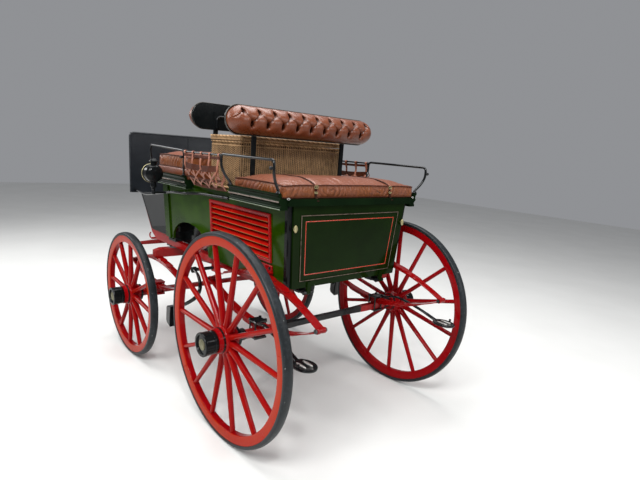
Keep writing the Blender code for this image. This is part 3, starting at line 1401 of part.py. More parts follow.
def rod_shapes(top):
    """The rod: a round bar with a flat eye at each end, beside the arm and the lever."""
    y = -LEVER_Y + 0.0115
    front = rod_pin()
    shapes = [disc((top.x, top.z), "y", 0.014, y - 0.005, y + 0.005, 10), disc((front.x, front.z), "y", 0.013, y - 0.005, y + 0.005, 10)]
    shapes.append(sweep([(top.x + 0.009, y, top.z), (front.x - 0.009, y, front.z)], round_section(0.0045, 6), flat=(0, 1, 0)))
    return shapes


def lever():
    """The hand lever, cranked out past the seat, and its quadrant with the stud that it turns on."""
    pin = rod_pin()
    y = -LEVER_Y
    lean = math.radians(LEVER_SWING - 2)
    up = Vector((math.sin(lean), 0, math.cos(lean)))
    pivot = Vector((LEVER_X, y, LEVER_Z))
    out = Vector((0, -0.094, 0))
    route = [pin + Vector((0, 0, 0)), pivot, pivot + up * 0.1, pivot + up * 0.17 + out, pivot + up * 0.5 + out]
    shapes = [sweep(route, flat_section(0.008, 0.022), flat=(0, 1, 0))]
    shapes.append(disc((pivot.x, pivot.z), "y", 0.018, y - 0.004, y + 0.004, 10))
    shapes.append(disc((pin.x, pin.z), "y", 0.012, y - 0.004, y + 0.004, 8))
    shapes.append(disc((pin.x, pin.z), "y", BRAKE_PIN_R, y, y + 0.022, 8))
    shapes.append(sweep([pivot + up * 0.48 + out, pivot + up * 0.6 + out], round_section(0.0135, 8), flat=(0, 1, 0)))
    hole = disc((pivot.x, pivot.z), "y", 0.0075 + RUN, y - 0.03, y + 0.03, 8)
    piece("brake_lever", shapes, BLACK, "lever_pivot", cuts=[hole])
    face = -body_half(LEVER_Z) - GAP
    plate = slab(rectangle(LEVER_X - 0.022, LEVER_X + 0.022, LEVER_Z - 0.05, LEVER_Z + 0.14), -1, -GAP, -0.007)
    quadrant = [plate, disc((LEVER_X, LEVER_Z), "y", 0.0075, y - 0.012, face - 0.003, 8)]
    quadrant.append(disc((LEVER_X, LEVER_Z), "y", 0.018, y + 0.004 + RUN, face - 0.003, 10))
    outer = arc(LEVER_X, LEVER_Z, 0.128, 0.128, 98, 58, 6)
    inner = arc(LEVER_X, LEVER_Z, 0.112, 0.112, 58, 98, 6)
    rack_y = -body_half(LEVER_Z + 0.12) - 0.003
    quadrant.append(prism(outer + inner, "y", rack_y - 0.012, rack_y))
    piece("brake_quadrant", quadrant, BLACK)


def main():
    """Builds the whole carriage."""
    build_frames()
    build_wheels()
    build_running_gear()
    build_sides()
    build_floor()
    build_seats()
    build_tailboard()
    build_rails()
    build_hamper()
    build_front()
    build_turntable()
    build_brake()
    bpy.context.view_layer.update()


main()
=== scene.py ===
import math

import bmesh
import bpy
import numpy as np
from mathutils import Matrix, Vector, bvhtree, noise


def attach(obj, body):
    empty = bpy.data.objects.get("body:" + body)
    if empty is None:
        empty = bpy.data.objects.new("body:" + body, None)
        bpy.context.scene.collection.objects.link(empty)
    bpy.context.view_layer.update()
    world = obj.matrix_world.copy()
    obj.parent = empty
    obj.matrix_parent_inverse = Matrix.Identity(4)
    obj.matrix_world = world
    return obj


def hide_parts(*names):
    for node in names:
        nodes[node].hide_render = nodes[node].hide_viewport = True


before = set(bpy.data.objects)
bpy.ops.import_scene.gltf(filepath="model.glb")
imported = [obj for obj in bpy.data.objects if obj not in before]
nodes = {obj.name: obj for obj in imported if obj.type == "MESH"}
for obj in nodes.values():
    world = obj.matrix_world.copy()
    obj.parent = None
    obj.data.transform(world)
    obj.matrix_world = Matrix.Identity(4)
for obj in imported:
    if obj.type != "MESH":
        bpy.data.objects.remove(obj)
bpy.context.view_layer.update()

# Shapes are drawn with x = 0 at the rear axle; SHIFT moves them so that the footprint's middle is the origin
SHIFT = -0.682098
SIDES = (("left", 1), ("right", -1))
CAMBER = math.radians(1.9)
TRACK = 0.678
BASE = 1.32
REAR_RADIUS, FRONT_RADIUS = 0.56, 0.445

# Heights that several pieces share
BODY_TOP = 1.2716
BOARD_LOW, BOARD_TOP = BODY_TOP + 0.0006, 1.309
SEAT_TOP = 1.334
RAIL_Z = 1.493
BAR_Z = RAIL_Z - 0.004
RAIL_Y = 0.576

# A lathe's closing point stands this far off its axis
HAIR = 0.0001


# Materials

class Paint:
    """A material under construction: a Principled shader and short ways to add the nodes that feed it."""

    def __init__(self, name, rough=0.4, metal=0.0, coat=0.0, coat_rough=0.08, specular=0.5):
        self.made = bpy.data.materials.new(name)
        self.made.use_nodes = True
        self.tree = self.made.node_tree
        self.shader = self.tree.nodes["Principled BSDF"]
        self.set("Metallic", metal)
        self.set("Roughness", rough)
        self.set("Specular IOR Level", specular)
        self.set("Coat Weight", coat)
        self.set("Coat Roughness", coat_rough)
        self.coordinates = self.node("ShaderNodeTexCoord")
        self.at = self.coordinates.outputs["Object"]
        self.last_bump = None

    def set(self, socket, value):
        self.shader.inputs[socket].default_value = value

    def node(self, kind, **values):
        """A new node; a value whose name starts with an underscore is a property, any other is an input."""
        made = self.tree.nodes.new(kind)
        for key, value in values.items():
            if key.startswith("_"):
                setattr(made, key[1:], value)
            else:
                made.inputs[key.replace("_", " ")].default_value = value
        return made

    def link(self, source, target):
        self.tree.links.new(source, target)

    def stretched(self, x, y, z, turn=(0, 0, 0)):
        """The object's own coordinates, scaled."""
        made = self.node("ShaderNodeMapping", Scale=(x, y, z), Rotation=turn)
        self.link(self.at, made.inputs["Vector"])
        return made.outputs["Vector"]

    def along(self, source, axis):
        """One coordinate of a vector."""
        made = self.node("ShaderNodeSeparateXYZ")
        self.link(source, made.inputs[0])
        return made.outputs[axis]

    def noise(self, scale, detail=4.0, rough=0.55, at=None, twist=0.0):
        made = self.node("ShaderNodeTexNoise", Scale=scale, Detail=detail, Roughness=rough, Distortion=twist)
        self.link(at or self.at, made.inputs["Vector"])
        return made.outputs["Fac"]

    def cells(self, scale, at=None):
        """Distance to the nearest edge of a Voronoi cell."""
        made = self.node("ShaderNodeTexVoronoi", Scale=scale)
        made.feature = "DISTANCE_TO_EDGE"
        self.link(at or self.at, made.inputs["Vector"])
        return made.outputs["Distance"]

    def read(self, name):
        """A number that the mesh carries at its points."""
        return self.node("ShaderNodeAttribute", _attribute_name=name).outputs["Fac"]

    def math(self, how, a, b=0.0, clamp=False):
        made = self.node("ShaderNodeMath", _operation=how, _use_clamp=clamp)
        for i, value in enumerate((a, b)):
            if isinstance(value, (int, float)):
                made.inputs[i].default_value = value
            else:
                self.link(value, made.inputs[i])
        return made.outputs[0]

    def times(self, a, b, clamp=False):
        return self.math("MULTIPLY", a, b, clamp)

    def span(self, value, low, high, to_low=0.0, to_high=1.0):
        """A value stretched from one range to another, held inside it."""
        made = self.node("ShaderNodeMapRange")
        for key, number in (("From Min", low), ("From Max", high), ("To Min", to_low), ("To Max", to_high)):
            made.inputs[key].default_value = number
        self.link(value, made.inputs["Value"])
        return made.outputs["Result"]

    def mix(self, share, a, b):
        """A share of colour b over colour a."""
        made = self.node("ShaderNodeMix", _data_type="RGBA")
        for i, value in ((0, share), (6, a), (7, b)):
            if isinstance(value, tuple):
                made.inputs[i].default_value = (*value, 1.0)
            elif isinstance(value, (int, float)):
                made.inputs[i].default_value = value
            else:
                self.link(value, made.inputs[i])
        return made.outputs[2]

    def colour(self, value):
        self.link(value, self.shader.inputs["Base Color"])
        return self

    def rough(self, value):
        self.link(value, self.shader.inputs["Roughness"])
        return self

    def bump(self, height, strength, distance):
        """A bump on top of the bumps that are there already."""
        made = self.node("ShaderNodeBump", Strength=strength, Distance=distance)
        self.link(height, made.inputs["Height"])
        if self.last_bump:
            self.link(self.last_bump, made.inputs["Normal"])
        self.last_bump = made.outputs["Normal"]
        self.link(self.last_bump, self.shader.inputs["Normal"])
        return self


def coach_paint(name, base, deep, dust, rough, coat, specular, dusty, facing=None, seed=0.0):
    """Varnished coach paint: a slow change of tone, dust in patches, chips and a slight orange peel; with
    facing given, painted sunlight on faces that look out along the axle and painted shade on the rest.
    """
    p = Paint(name, rough, coat=coat, coat_rough=0.06, specular=specular)
    slow = p.noise(5.0, 3.0, at=p.stretched(1, 1, 1 + seed))
    tone = p.mix(p.span(slow, 0.35, 0.68), base, deep)
    # Painted light: faces that look out along the axle keep the base tones as painted sunlight, while other
    # faces and tinted parts take the second colour as painted shade
    if facing:
        side, painted_shade_tone = facing
        outward = p.span(p.times(p.along(p.coordinates.outputs["Normal"], "Y"), side), 0.2, 0.85)
        tone = p.mix(p.times(outward, p.math("SUBTRACT", 1.0, p.read("tint"))), painted_shade_tone, tone)
    fine = p.noise(38.0, 7.0, 0.65)
    specks = p.times(p.span(fine, 0.54, 0.74), p.span(slow, 0.4, 0.62, 0.25, 1.0), clamp=True)
    tone = p.mix(p.times(specks, dusty), tone, dust)
    chips = p.math("GREATER_THAN", p.noise(120.0, 2.0), 0.735)
    tone = p.mix(p.times(chips, dusty * 0.5), tone, dust)
    p.colour(tone).rough(p.span(p.math("ADD", fine, specks), 0.3, 1.5, rough * 0.75, rough * 1.7))
    return p.bump(p.noise(420.0, 2.0), 0.05, 0.0006).made


def leather(name, top, side, deep, grain=1.0, rough=0.42, coat=0.12):
    """Hide: paler where the mesh marks lit faces, a painted sheen, and darker in the folds that it marks, a
    painted shade, with pores and fine creases.
    """
    p = Paint(name, rough, coat=coat, coat_rough=0.22, specular=0.1 + coat)
    cloudy = p.noise(9.0, 5.0, 0.6, twist=0.4)
    fine = p.noise(70.0, 6.0, 0.7)
    tone = p.mix(p.span(cloudy, 0.32, 0.7), side, top)
    # Painted sheen: paler where the mesh's top values mark faces that catch the light
    tone = p.mix(p.times(p.read("top"), 0.8), tone, top)
    tone = p.mix(p.times(p.span(fine, 0.5, 0.75), 0.35), tone, deep)
    # Painted shade: darker where the mesh's fold values mark creases, pits and folds
    tone = p.mix(p.times(p.read("fold"), 0.9), tone, deep)
    pores = p.cells(430.0 * grain)
    creases = p.cells(95.0 * grain, at=p.stretched(1, 1, 1.3, (0.3, 0.2, 0.5)))
    tone = p.mix(p.span(pores, 0.0, 0.08, 0.18, 0.0), tone, deep)
    p.colour(tone).rough(p.span(p.math("ADD", fine, cloudy), 0.6, 1.4, rough * 0.8, rough * 1.35))
    p.bump(p.span(creases, 0.0, 0.12), 0.22, 0.0011)
    return p.bump(p.span(pores, 0.0, 0.3), 0.3, 0.0005).made


def metal(name, base, other, rough, worn):
    """Bare or plated metal with tarnish and fine scratches."""
    p = Paint(name, rough, metal=1.0)
    cloudy = p.noise(30.0, 5.0, 0.6)
    p.colour(p.mix(p.times(p.span(cloudy, 0.4, 0.65), worn), base, other))
    p.rough(p.span(cloudy, 0.3, 0.7, rough * 0.8, rough * 2.0))
    return p.bump(p.noise(300.0, 3.0, at=p.stretched(1, 6, 1)), 0.08, 0.0004).made


def willow(name, pale, tan, dark):
    """Peeled willow rods: each strand has its own tone, with bark fibres along it and painted shade between
    rods.
    """
    p = Paint(name, 0.6, specular=0.15, coat=0.02, coat_rough=0.3)
    fine = p.noise(55.0, 6.0, 0.7)
    tone = p.mix(p.math("ADD", p.times(p.read("tint"), 0.75), p.times(fine, 0.35), clamp=True), tan, pale)
    tone = p.mix(p.span(p.noise(14.0, 3.0), 0.45, 0.7, 0.0, 0.45), tone, dark)
    # Painted shade where the mesh's fold values mark the joints and the rods by the stakes
    tone = p.mix(p.times(p.math("POWER", p.read("fold"), 1.15), 0.97), tone, dark)
    p.colour(tone).rough(p.span(fine, 0.3, 0.7, 0.42, 0.7))
    return p.bump(p.noise(500.0, 2.0, at=p.stretched(1, 0.2, 1)), 0.25, 0.0006).made


def tyre_black():
    """Old solid tyre: blue-grey bloom, scuffs and small pale nicks."""
    p = Paint("tyre_black", 0.42, specular=0.22)
    slow = p.noise(7.0, 4.0)
    fine = p.noise(60.0, 8.0, 0.7)
    tone = p.mix(p.span(slow, 0.3, 0.7), (0.0055, 0.0068, 0.0080), (0.015, 0.019, 0.022))
    tone = p.mix(p.span(fine, 0.5, 0.72, 0.0, 0.55), tone, (0.045, 0.054, 0.060))
    nicks = p.math("GREATER_THAN", p.noise(58.0, 3.0), 0.715)
    tone = p.mix(p.times(nicks, 0.6), tone, (0.42, 0.44, 0.43))
    p.colour(tone).rough(p.span(fine, 0.3, 0.7, 0.3, 0.6))
    return p.bump(fine, 0.3, 0.0015).made


def axle_paint():
    """The rear axle: red by the springs and black between them, as painted, with a brushed edge."""
    p = Paint("axle_paint", 0.24, coat=0.10, coat_rough=0.08, specular=0.18)
    reach = p.math("ABSOLUTE", p.along(p.at, "Y"))
    wavy = p.math("ADD", reach, p.times(p.noise(90.0), 0.006))
    red = p.times(p.span(wavy, 0.322, 0.326), p.span(wavy, 0.553, 0.556, 1.0, 0.0))
    fine = p.noise(45.0, 6.0)
    red_tone = p.mix(p.span(fine, 0.4, 0.75), (0.34, 0.0045, 0.0050), (0.25, 0.0035, 0.0045))
    black_tone = p.mix(p.span(fine, 0.45, 0.75), (0.005, 0.006, 0.0065), (0.020, 0.020, 0.019))
    p.colour(p.mix(red, black_tone, red_tone)).rough(p.span(fine, 0.3, 0.7, 0.22, 0.45))
    return p.bump(p.noise(260.0), 0.12, 0.0007).made


def lamp_glass():
    """A lamp's pane: a pale, slightly dirty lens over a dark drum."""
    p = Paint("lamp_glass", 0.08, coat=0.6, coat_rough=0.04)
    slow = p.noise(20.0, 4.0)
    p.colour(p.mix(p.span(slow, 0.35, 0.65), (0.16, 0.18, 0.18), (0.26, 0.28, 0.27)))
    p.rough(p.span(slow, 0.3, 0.7, 0.05, 0.2))
    return p.bump(p.noise(60.0), 0.03, 0.0004).made


DUST = (0.30, 0.20, 0.12)
# Wheel reds: painted sunlight, in two tones, for faces that look out along the axle, and a painted shade red
# for the rest
PAINTED_SUNLIT_RED, PAINTED_SUNLIT_RED_DARK = (0.34, 0.021, 0.0004), (0.33, 0.012, 0.0008)
PAINTED_SHADE_RED = (0.225, 0.0012, 0.0030)

# Coach paints: tone, second tone, dust, then roughness, coat, specular and how dusty they are
RED = coach_paint("vermilion", (0.30, 0.0030, 0.0025), (0.22, 0.0020, 0.0025), DUST, 0.15, 0.08, 0.12, 0.06)
IRON_RED = coach_paint("crimson_iron", (0.27, 0.0025, 0.0030), (0.19, 0.0015, 0.0025), DUST,
                       0.15, 0.14, 0.14, 0.06, seed=0.3)
WHEEL_RED = {
    side: coach_paint(f"wheel_red_{label}", PAINTED_SUNLIT_RED, PAINTED_SUNLIT_RED_DARK, DUST,
                      0.14, 0.06, 0.07, 0.05, (side, PAINTED_SHADE_RED))
    for label, side in SIDES
}
LINE_RED = coach_paint("line_red", (0.52, 0.040, 0.012), (0.42, 0.028, 0.010), DUST, 0.3, 0.3, 0.5, 0.3)
LOUVRE_RED = coach_paint("louvre_red", (0.44, 0.0075, 0.0030), (0.33, 0.0050, 0.0035), DUST,
                         0.25, 0.0, 0.03, 0.05)
EDGE_RED = coach_paint("worn_edge_red", (0.26, 0.085, 0.014), (0.11, 0.060, 0.016), (0.17, 0.14, 0.05),
                       0.35, 0.0, 0.06, 0.4)
GREEN = coach_paint("body_green", (0.021, 0.055, 0.0010), (0.008, 0.026, 0.0008), (0.04, 0.06, 0.015),
                    0.10, 0.04, 0.06, 0.04)
TAIL_GREEN = coach_paint("tail_green", (0.0035, 0.0100, 0.0010), (0.0050, 0.0150, 0.0014), (0.02, 0.03, 0.01),
                         0.10, 0.03, 0.05, 0.03)
SEAT_GREEN = coach_paint("moulding_green", (0.0045, 0.0125, 0.004), (0.003, 0.008, 0.003),
                         (0.02, 0.03, 0.015), 0.14, 0.01, 0.03, 0.03)
# A greenish-white paint for the moulding's lower edge, partly a painted highlight
PALE_EDGE_AND_PAINTED_HIGHLIGHT = coach_paint("pale_edge_and_highlight", (0.25, 0.30, 0.22), (0.12, 0.16, 0.11), (0.30, 0.32, 0.26),
                        0.25, 0.1, 0.3, 0.3)
BLACK = coach_paint("black_varnish", (0.0035, 0.0042, 0.0045), (0.006, 0.007, 0.0075), (0.03, 0.03, 0.026),
                    0.12, 0.05, 0.10, 0.04)
IRON = coach_paint("black_iron_paint", (0.0035, 0.0042, 0.0048), (0.007, 0.008, 0.0088), (0.035, 0.033, 0.03),
                   0.13, 0.14, 0.20, 0.06, seed=0.6)

# A pale metal for the moulding's bead, partly a painted highlight
SILVER_AND_PAINTED_HIGHLIGHT = metal("line_silver_and_highlight", (0.52, 0.42, 0.37), (0.20, 0.16, 0.14), 0.34, 0.8)
TAIL_LINE = metal("tail_silver", (0.25, 0.19, 0.155), (0.08, 0.058, 0.045), 0.45, 0.8)
BRASS = metal("old_brass", (0.60, 0.54, 0.30), (0.30, 0.27, 0.14), 0.34, 0.7)
DISC_BRASS = metal("disc_brass", (0.24, 0.23, 0.15), (0.10, 0.095, 0.05), 0.4, 0.8)
STEEL = metal("worn_steel", (0.62, 0.62, 0.60), (0.25, 0.23, 0.20), 0.36, 0.6)
TYRE, GLASS, AXLE = tyre_black(), lamp_glass(), axle_paint()

# Hides: raised tone, also the painted sheen on lit faces; flat tone; tone of the folds, also the painted shade
# in them; then grain, roughness and coat
SEAT_LEATHER = leather("seat_leather", (0.188, 0.061, 0.035), (0.200, 0.056, 0.009), (0.020, 0.004, 0.002),
                       1.0, 0.36, 0.14)
ROLL_LEATHER = leather("roll_leather", (0.178, 0.047, 0.016), (0.128, 0.027, 0.007), (0.007, 0.0012, 0.001),
                       0.9, 0.28, 0.26)
STRAP_LEATHER = leather("strap_leather", (0.40, 0.165, 0.105), (0.20, 0.060, 0.033), (0.012, 0.003, 0.002),
                        1.3, 0.36, 0.10)
LEVEL_LEATHER = leather("level_leather", (0.080, 0.018, 0.006), (0.036, 0.008, 0.003), (0.008, 0.002, 0.001),
                        1.3, 0.42, 0.04)
BLACK_LEATHER = leather("black_leather", (0.010, 0.013, 0.017), (0.006, 0.008, 0.011), (0.003, 0.004, 0.005),
                        1.0, 0.4, 0.2)
STITCH = leather("stitching", (0.05, 0.05, 0.05), (0.03, 0.03, 0.03), (0.01, 0.01, 0.01), 2.0, 0.6, 0.0)
BUTTONS = leather("dark_piping", (0.12, 0.035, 0.018), (0.09, 0.025, 0.012), (0.02, 0.007, 0.004),
                  1.2, 0.4, 0.1)
PIPING = leather("piping", (0.085, 0.024, 0.012), (0.050, 0.013, 0.006), (0.02, 0.006, 0.003), 1.4, 0.5, 0.03)
DARK_STRAP = leather("dark_strap", (0.035, 0.011, 0.006), (0.022, 0.007, 0.004), (0.006, 0.003, 0.002),
                     1.4, 0.7, 0.0)
BOARD_RIM = leather("board_rim", (0.085, 0.080, 0.072), (0.05, 0.047, 0.042), (0.02, 0.018, 0.016),
                    1.2, 0.45, 0.1)
WICKER = willow("wicker", (0.57, 0.365, 0.190), (0.23, 0.125, 0.052), (0.011, 0.0045, 0.002))
# A near-black willow for the band inside the hamper, painted shade
PAINTED_SHADE_WILLOW = willow("wicker_shade", (0.05, 0.028, 0.012), (0.03, 0.016, 0.007), (0.008, 0.004, 0.002))


# Mesh helpers: each shape is (points, faces) in the carriage's frame

def curve(points, count):
    """A smooth curve of count steps a span through the points."""
    points = [Vector(point) for point in points]
    last = len(points) - 1
    made = []
    for i in range(last):
        a, b, c, d = (points[min(max(i + k, 0), last)] for k in (-1, 0, 1, 2))
        for k in range(count):
            t = k / count
            bend, twist = a * 2 - b * 5 + c * 4 - d, b * 3 - a - c * 3 + d
            made.append((b * 2 + (c - a) * t + bend * t * t + twist * t**3) / 2)
    made.append(points[-1])
    return made


def rounded(points, radius, count=5, loop=False):
    """A run of straight lines with each corner rounded, by one radius or by a list of them."""
    points = [Vector(point) for point in points]
    size = len(points)
    made = [] if loop else [points[0]]
    for i in range(size) if loop else range(1, size - 1):
        here = points[i]
        back, ahead = points[i - 1] - here, points[(i + 1) % size] - here
        wanted = radius[i] if isinstance(radius, (list, tuple)) else radius
        r = min(wanted, back.length * 0.48, ahead.length * 0.48)
        a, b = here + back.normalized() * r, here + ahead.normalized() * r
        for k in range(count + 1):
            t = k / count
            made.append(a * (1 - t) ** 2 + here * 2 * t * (1 - t) + b * t * t)
    if not loop:
        made.append(points[-1])
    return made


def grid(rows, loop_rows=False, loop_columns=False, caps=False):
    """Quads over rows of equal point counts."""
    rows = [[tuple(point) for point in row] for row in rows]
    wide = len(rows[0])
    points = [point for row in rows for point in row]
    faces = []
    for i in range(len(rows) if loop_rows else len(rows) - 1):
        for j in range(wide if loop_columns else wide - 1):
            a, b = i * wide, (i + 1) % len(rows) * wide
            k = (j + 1) % wide
            faces.append((a + j, a + k, b + k, b + j))
    if caps:
        faces.append(tuple(reversed(range(wide))))
        faces.append(tuple(range(len(points) - wide, len(points))))
    return points, faces


def solid(rows):
    """Closed outlines, one after the other, with both ends capped."""
    return grid(rows, loop_columns=True, caps=True)


def torus(rows):
    """Closed outlines in a closed row."""
    return grid(rows, loop_rows=True, loop_columns=True)


def frames_along(path, flat=None, loop=False):
    """(point, side, up) along a path; the side is kept near flat, or carried along without twist."""
    made = []
    side = Vector(flat) if flat is not None else None
    size = len(path)
    for i, point in enumerate(path):
        a = path[i - 1] if loop or i else path[0]
        b = path[(i + 1) % size] if loop or i < size - 1 else path[-1]
        ahead = (b - a).normalized()
        if side is None:
            side = ahead.orthogonal().normalized()
        across = (side - ahead * side.dot(ahead)).normalized()
        if flat is None:
            side = across
        made.append((point, across, ahead.cross(across)))
    return made


def sweep(path, section, flat=None, loop=False, scale=None):
    """A section of (side, up) points run along a path; scale gives its width and thickness there."""
    rows = []
    for i, (point, side, up) in enumerate(frames_along([Vector(p) for p in path], flat, loop)):
        wide, thick = scale(i / (len(path) - 1)) if scale else (1.0, 1.0)
        rows.append([point + side * (a * wide) + up * (b * thick) for a, b in section])
    return torus(rows) if loop else solid(rows)


def turns(count):
    """Angles evenly round a full turn."""
    return [2 * math.pi * k / count for k in range(count)]


def ring(radius, sides=12, wide=1.0, high=1.0, power=1.0):
    """A round section, or with a power below one a softly square one."""
    def reach(share):
        return radius * math.copysign(abs(share) ** power, share)

    return [(wide * reach(math.cos(t)), high * reach(math.sin(t))) for t in turns(sides)]


def oval(x, y, z, a, b, count):
    """A level oval."""
    return [(x + a * math.cos(t), y + b * math.sin(t), z) for t in turns(count)]


def bar(width, thick, r=0.0012):
    """A flat bar's section with eased corners."""
    w, h = width / 2, thick / 2
    r = min(r, w * 0.6, h * 0.6)
    half = [(-w + r, -h), (w - r, -h), (w, -h + r), (w, h - r)]
    return half + [(-a, -b) for a, b in half]


def strap(width, thick):
    """A strap's section, with finer corners than a bar's."""
    return bar(width, thick, 0.0008)


def tube(path, radius, sides=12, loop=False, scale=None):
    return sweep(path, ring(radius, sides), loop=loop, scale=scale)


def lathe(profile, sides=40, axis="y"):
    """(radius, height) points turned about an axis."""
    rows = []
    for radius, h in profile:
        row = []
        for t in turns(sides):
            c, s = max(radius, HAIR) * math.cos(t), max(radius, HAIR) * math.sin(t)
            row.append({"y": (c, h, s), "z": (c, s, h), "x": (h, c, s)}[axis])
        rows.append(row)
    return grid(rows, loop_columns=True)


def mirrored(profile):
    """A profile of (radius, height) points followed by its mirror image in height."""
    return profile + [(radius, -h) for radius, h in reversed(profile)]


def scaled(profile, radius, level=0.0):
    """A profile in shares of a radius, moved along its axis."""
    return [(radius * share, level + h) for share, h in profile]


def pin(radius, low, high, ease=0.001):
    """The profile of a round pin with eased ends."""
    inner = radius - ease
    return [(0, low), (inner, low), (radius, low + ease), (radius, high - ease), (inner, high), (0, high)]


def moved(shape, matrix):
    points, faces = shape
    return [tuple(matrix @ Vector(point)) for point in points], faces


def facing(side):
    """The half turn that makes local +Y run outward on either side."""
    return Matrix.Rotation(0 if side > 0 else math.pi, 4, "Z")


def turned(profile, at, sides=28, axis="z"):
    """A turned shape with its axis through a point."""
    return moved(lathe(profile, sides, axis), Matrix.Translation(at))


def hexagon(at, radius, low, high, axis="z"):
    """A nut or a bolt's head."""
    return turned([(0, low), (radius, low), (radius, high), (0, high)], at, 6, axis)


def block(x0, x1, y0, y1, z0, z1):
    """A box; its y values may come in either order."""
    y0, y1 = sorted((y0, y1))
    return solid([[(x0, y0, z), (x1, y0, z), (x1, y1, z), (x0, y1, z)] for z in (z0, z1)])


def soft_box(x0, x1, half, z0, z1, r, count=4):
    """A box with its upright corners rounded and its top and bottom edges eased."""
    loop = []
    corners = ((x1 - r, half - r), (x0 + r, half - r), (x0 + r, r - half), (x1 - r, r - half))
    for quarter, (cx, cy) in enumerate(corners):
        loop += [(cx, cy, math.radians(90 * (quarter + k / count))) for k in range(count + 1)]
    rows = []
    for pull, z in ((1, z0), (0.3, z0 + r * 0.3), (0, z0 + r), (0, z1 - r), (0.3, z1 - r * 0.3), (1, z1)):
        reach = r * (1 - pull) + 0.0002
        rows.append([(cx + reach * math.cos(t), cy + reach * math.sin(t), z) for cx, cy, t in loop])
    return solid(rows)


def bevel_edges(node, width, angle):
    """Softened edges where faces meet at more than an angle in degrees."""
    step = node.modifiers.new("edges", "BEVEL")
    step.width = width
    step.segments = 2
    step.limit_method = "ANGLE"
    step.angle_limit = math.radians(angle)
    step.harden_normals = True


def write_values(mesh, key, numbers):
    """Stores a number at each point of a mesh, for its material to read."""
    mesh.attributes.new(key, "FLOAT", "POINT").data.foreach_set("value", np.asarray(numbers, np.float32))


def build(name, shapes, finish, body="carriage", slot=None, smooth=40, bevel=0.0, hides=(),
          tints=None, values=None):
    """One piece from one or more shapes, riding on a body; tints gives each shape its own tone."""
    if isinstance(shapes, tuple):
        shapes = [shapes]
    points, faces = [], []
    for more, around in shapes:
        start = len(points)
        points += [(x + SHIFT, y, z) for x, y, z in more]
        faces += [tuple(i + start for i in face) for face in around]
    mesh = bpy.data.meshes.new(name)
    mesh.from_pydata(points, [], faces)
    mesh.validate()
    shape = bmesh.new()
    shape.from_mesh(mesh)
    bmesh.ops.recalc_face_normals(shape, faces=shape.faces)
    shape.to_mesh(mesh)
    shape.free()
    made = bpy.data.objects.new(name, mesh)
    bpy.context.scene.collection.objects.link(made)
    mesh.materials.append(finish)
    if tints:
        write_values(mesh, "tint", np.repeat(tints, [len(more) for more, _around in shapes]))
    for key, numbers in (values or {}).items():
        write_values(mesh, key, numbers)
    if smooth:
        mesh.shade_smooth()
        mesh.set_sharp_from_angle(angle=math.radians(smooth))
    if bevel:
        bevel_edges(made, bevel, 35)
    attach(made, body)
    if hides:
        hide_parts(*hides)
    return made


def dress(finish, bevel, *names):
    """CAD nodes that stay, with their finish and softened edges."""
    for name in names:
        mesh = nodes[name].data
        mesh.materials.clear()
        mesh.materials.append(finish)
        mesh.shade_smooth()
        mesh.set_sharp_from_angle(angle=math.radians(30))
        bevel_edges(nodes[name], bevel, 32)


def body_half(z):
    """Half the body's width at a height: its sides flare upward."""
    return 0.4215 + (z - 0.83) * 0.0775


def tail_x(z):
    """The tailboard's place at a height: it leans back."""
    return -0.168 - (z - 0.83) * 0.0465


# Wheels

RIM_DEPTH = 0.048
TYRE_DEPTH = 0.0224


def wheel_place(x, side, radius):
    """A wheel's own frame: local +Y runs out along the axle arm."""
    place = Matrix.Translation((x, side * TRACK, radius * math.cos(CAMBER)))
    return place @ Matrix.Rotation(-side * CAMBER, 4, "X") @ facing(side)


def felloes(outer, joints, phase):
    """The felloe ring with its eased edges, and a fine open joint between neighbouring felloes."""
    half, inner = 0.0225, outer - RIM_DEPTH
    corners = [(outer, -half, 0), (outer, half, 0), (inner, half - 0.003, 0), (inner, 0.003 - half, 0)]
    profile = [(p.x, p.y) for p in rounded(corners, [0.001, 0.001, 0.007, 0.007], 4, loop=True)]
    middle = (outer + inner) / 2
    steps = 16
    stations = []
    for start in turns(joints):
        t = phase + start
        stations += [(t - 0.0016, 0), (t, 0.0011), (t + 0.0016, 0)]
        stations += [(t + 2 * math.pi / joints * j / steps, 0) for j in range(1, steps)]
    rows = []
    for t, cut in stations:
        row = []
        for r, h in profile:
            r += cut if r < middle else 0
            h -= math.copysign(cut, h)
            row.append((r * math.cos(t), h, r * math.sin(t)))
        rows.append(row)
    return torus(rows)


def spoke(turn, inner):
    """One spoke: a square-shouldered foot, an oval waisted shank and a round tongue."""
    out = Vector((math.cos(turn), 0, math.sin(turn)))
    across = Vector((-math.sin(turn), 0, math.cos(turn)))
    foot, dish = 0.060, 0.008
    rows = []
    for reach, wide, deep, power in (
        (foot, 0.0160, 0.0205, 0.55), (0.090, 0.0158, 0.0200, 0.6), (0.112, 0.0150, 0.0190, 0.85),
        (0.150, 0.0142, 0.0182, 1), (inner * 0.55, 0.0133, 0.0166, 1), (inner * 0.82, 0.0126, 0.0150, 1),
        (inner * 0.955, 0.0130, 0.0145, 1), (inner + 0.006, 0.0125, 0.0132, 1),
    ):
        drop = -dish * (1 - (reach - foot) / (inner - foot))
        section = ring(1.0, 18, wide, deep, power)
        rows.append([out * reach + across * a + Vector((0, 1, 0)) * (b + drop) for a, b in section])
    return solid(rows)


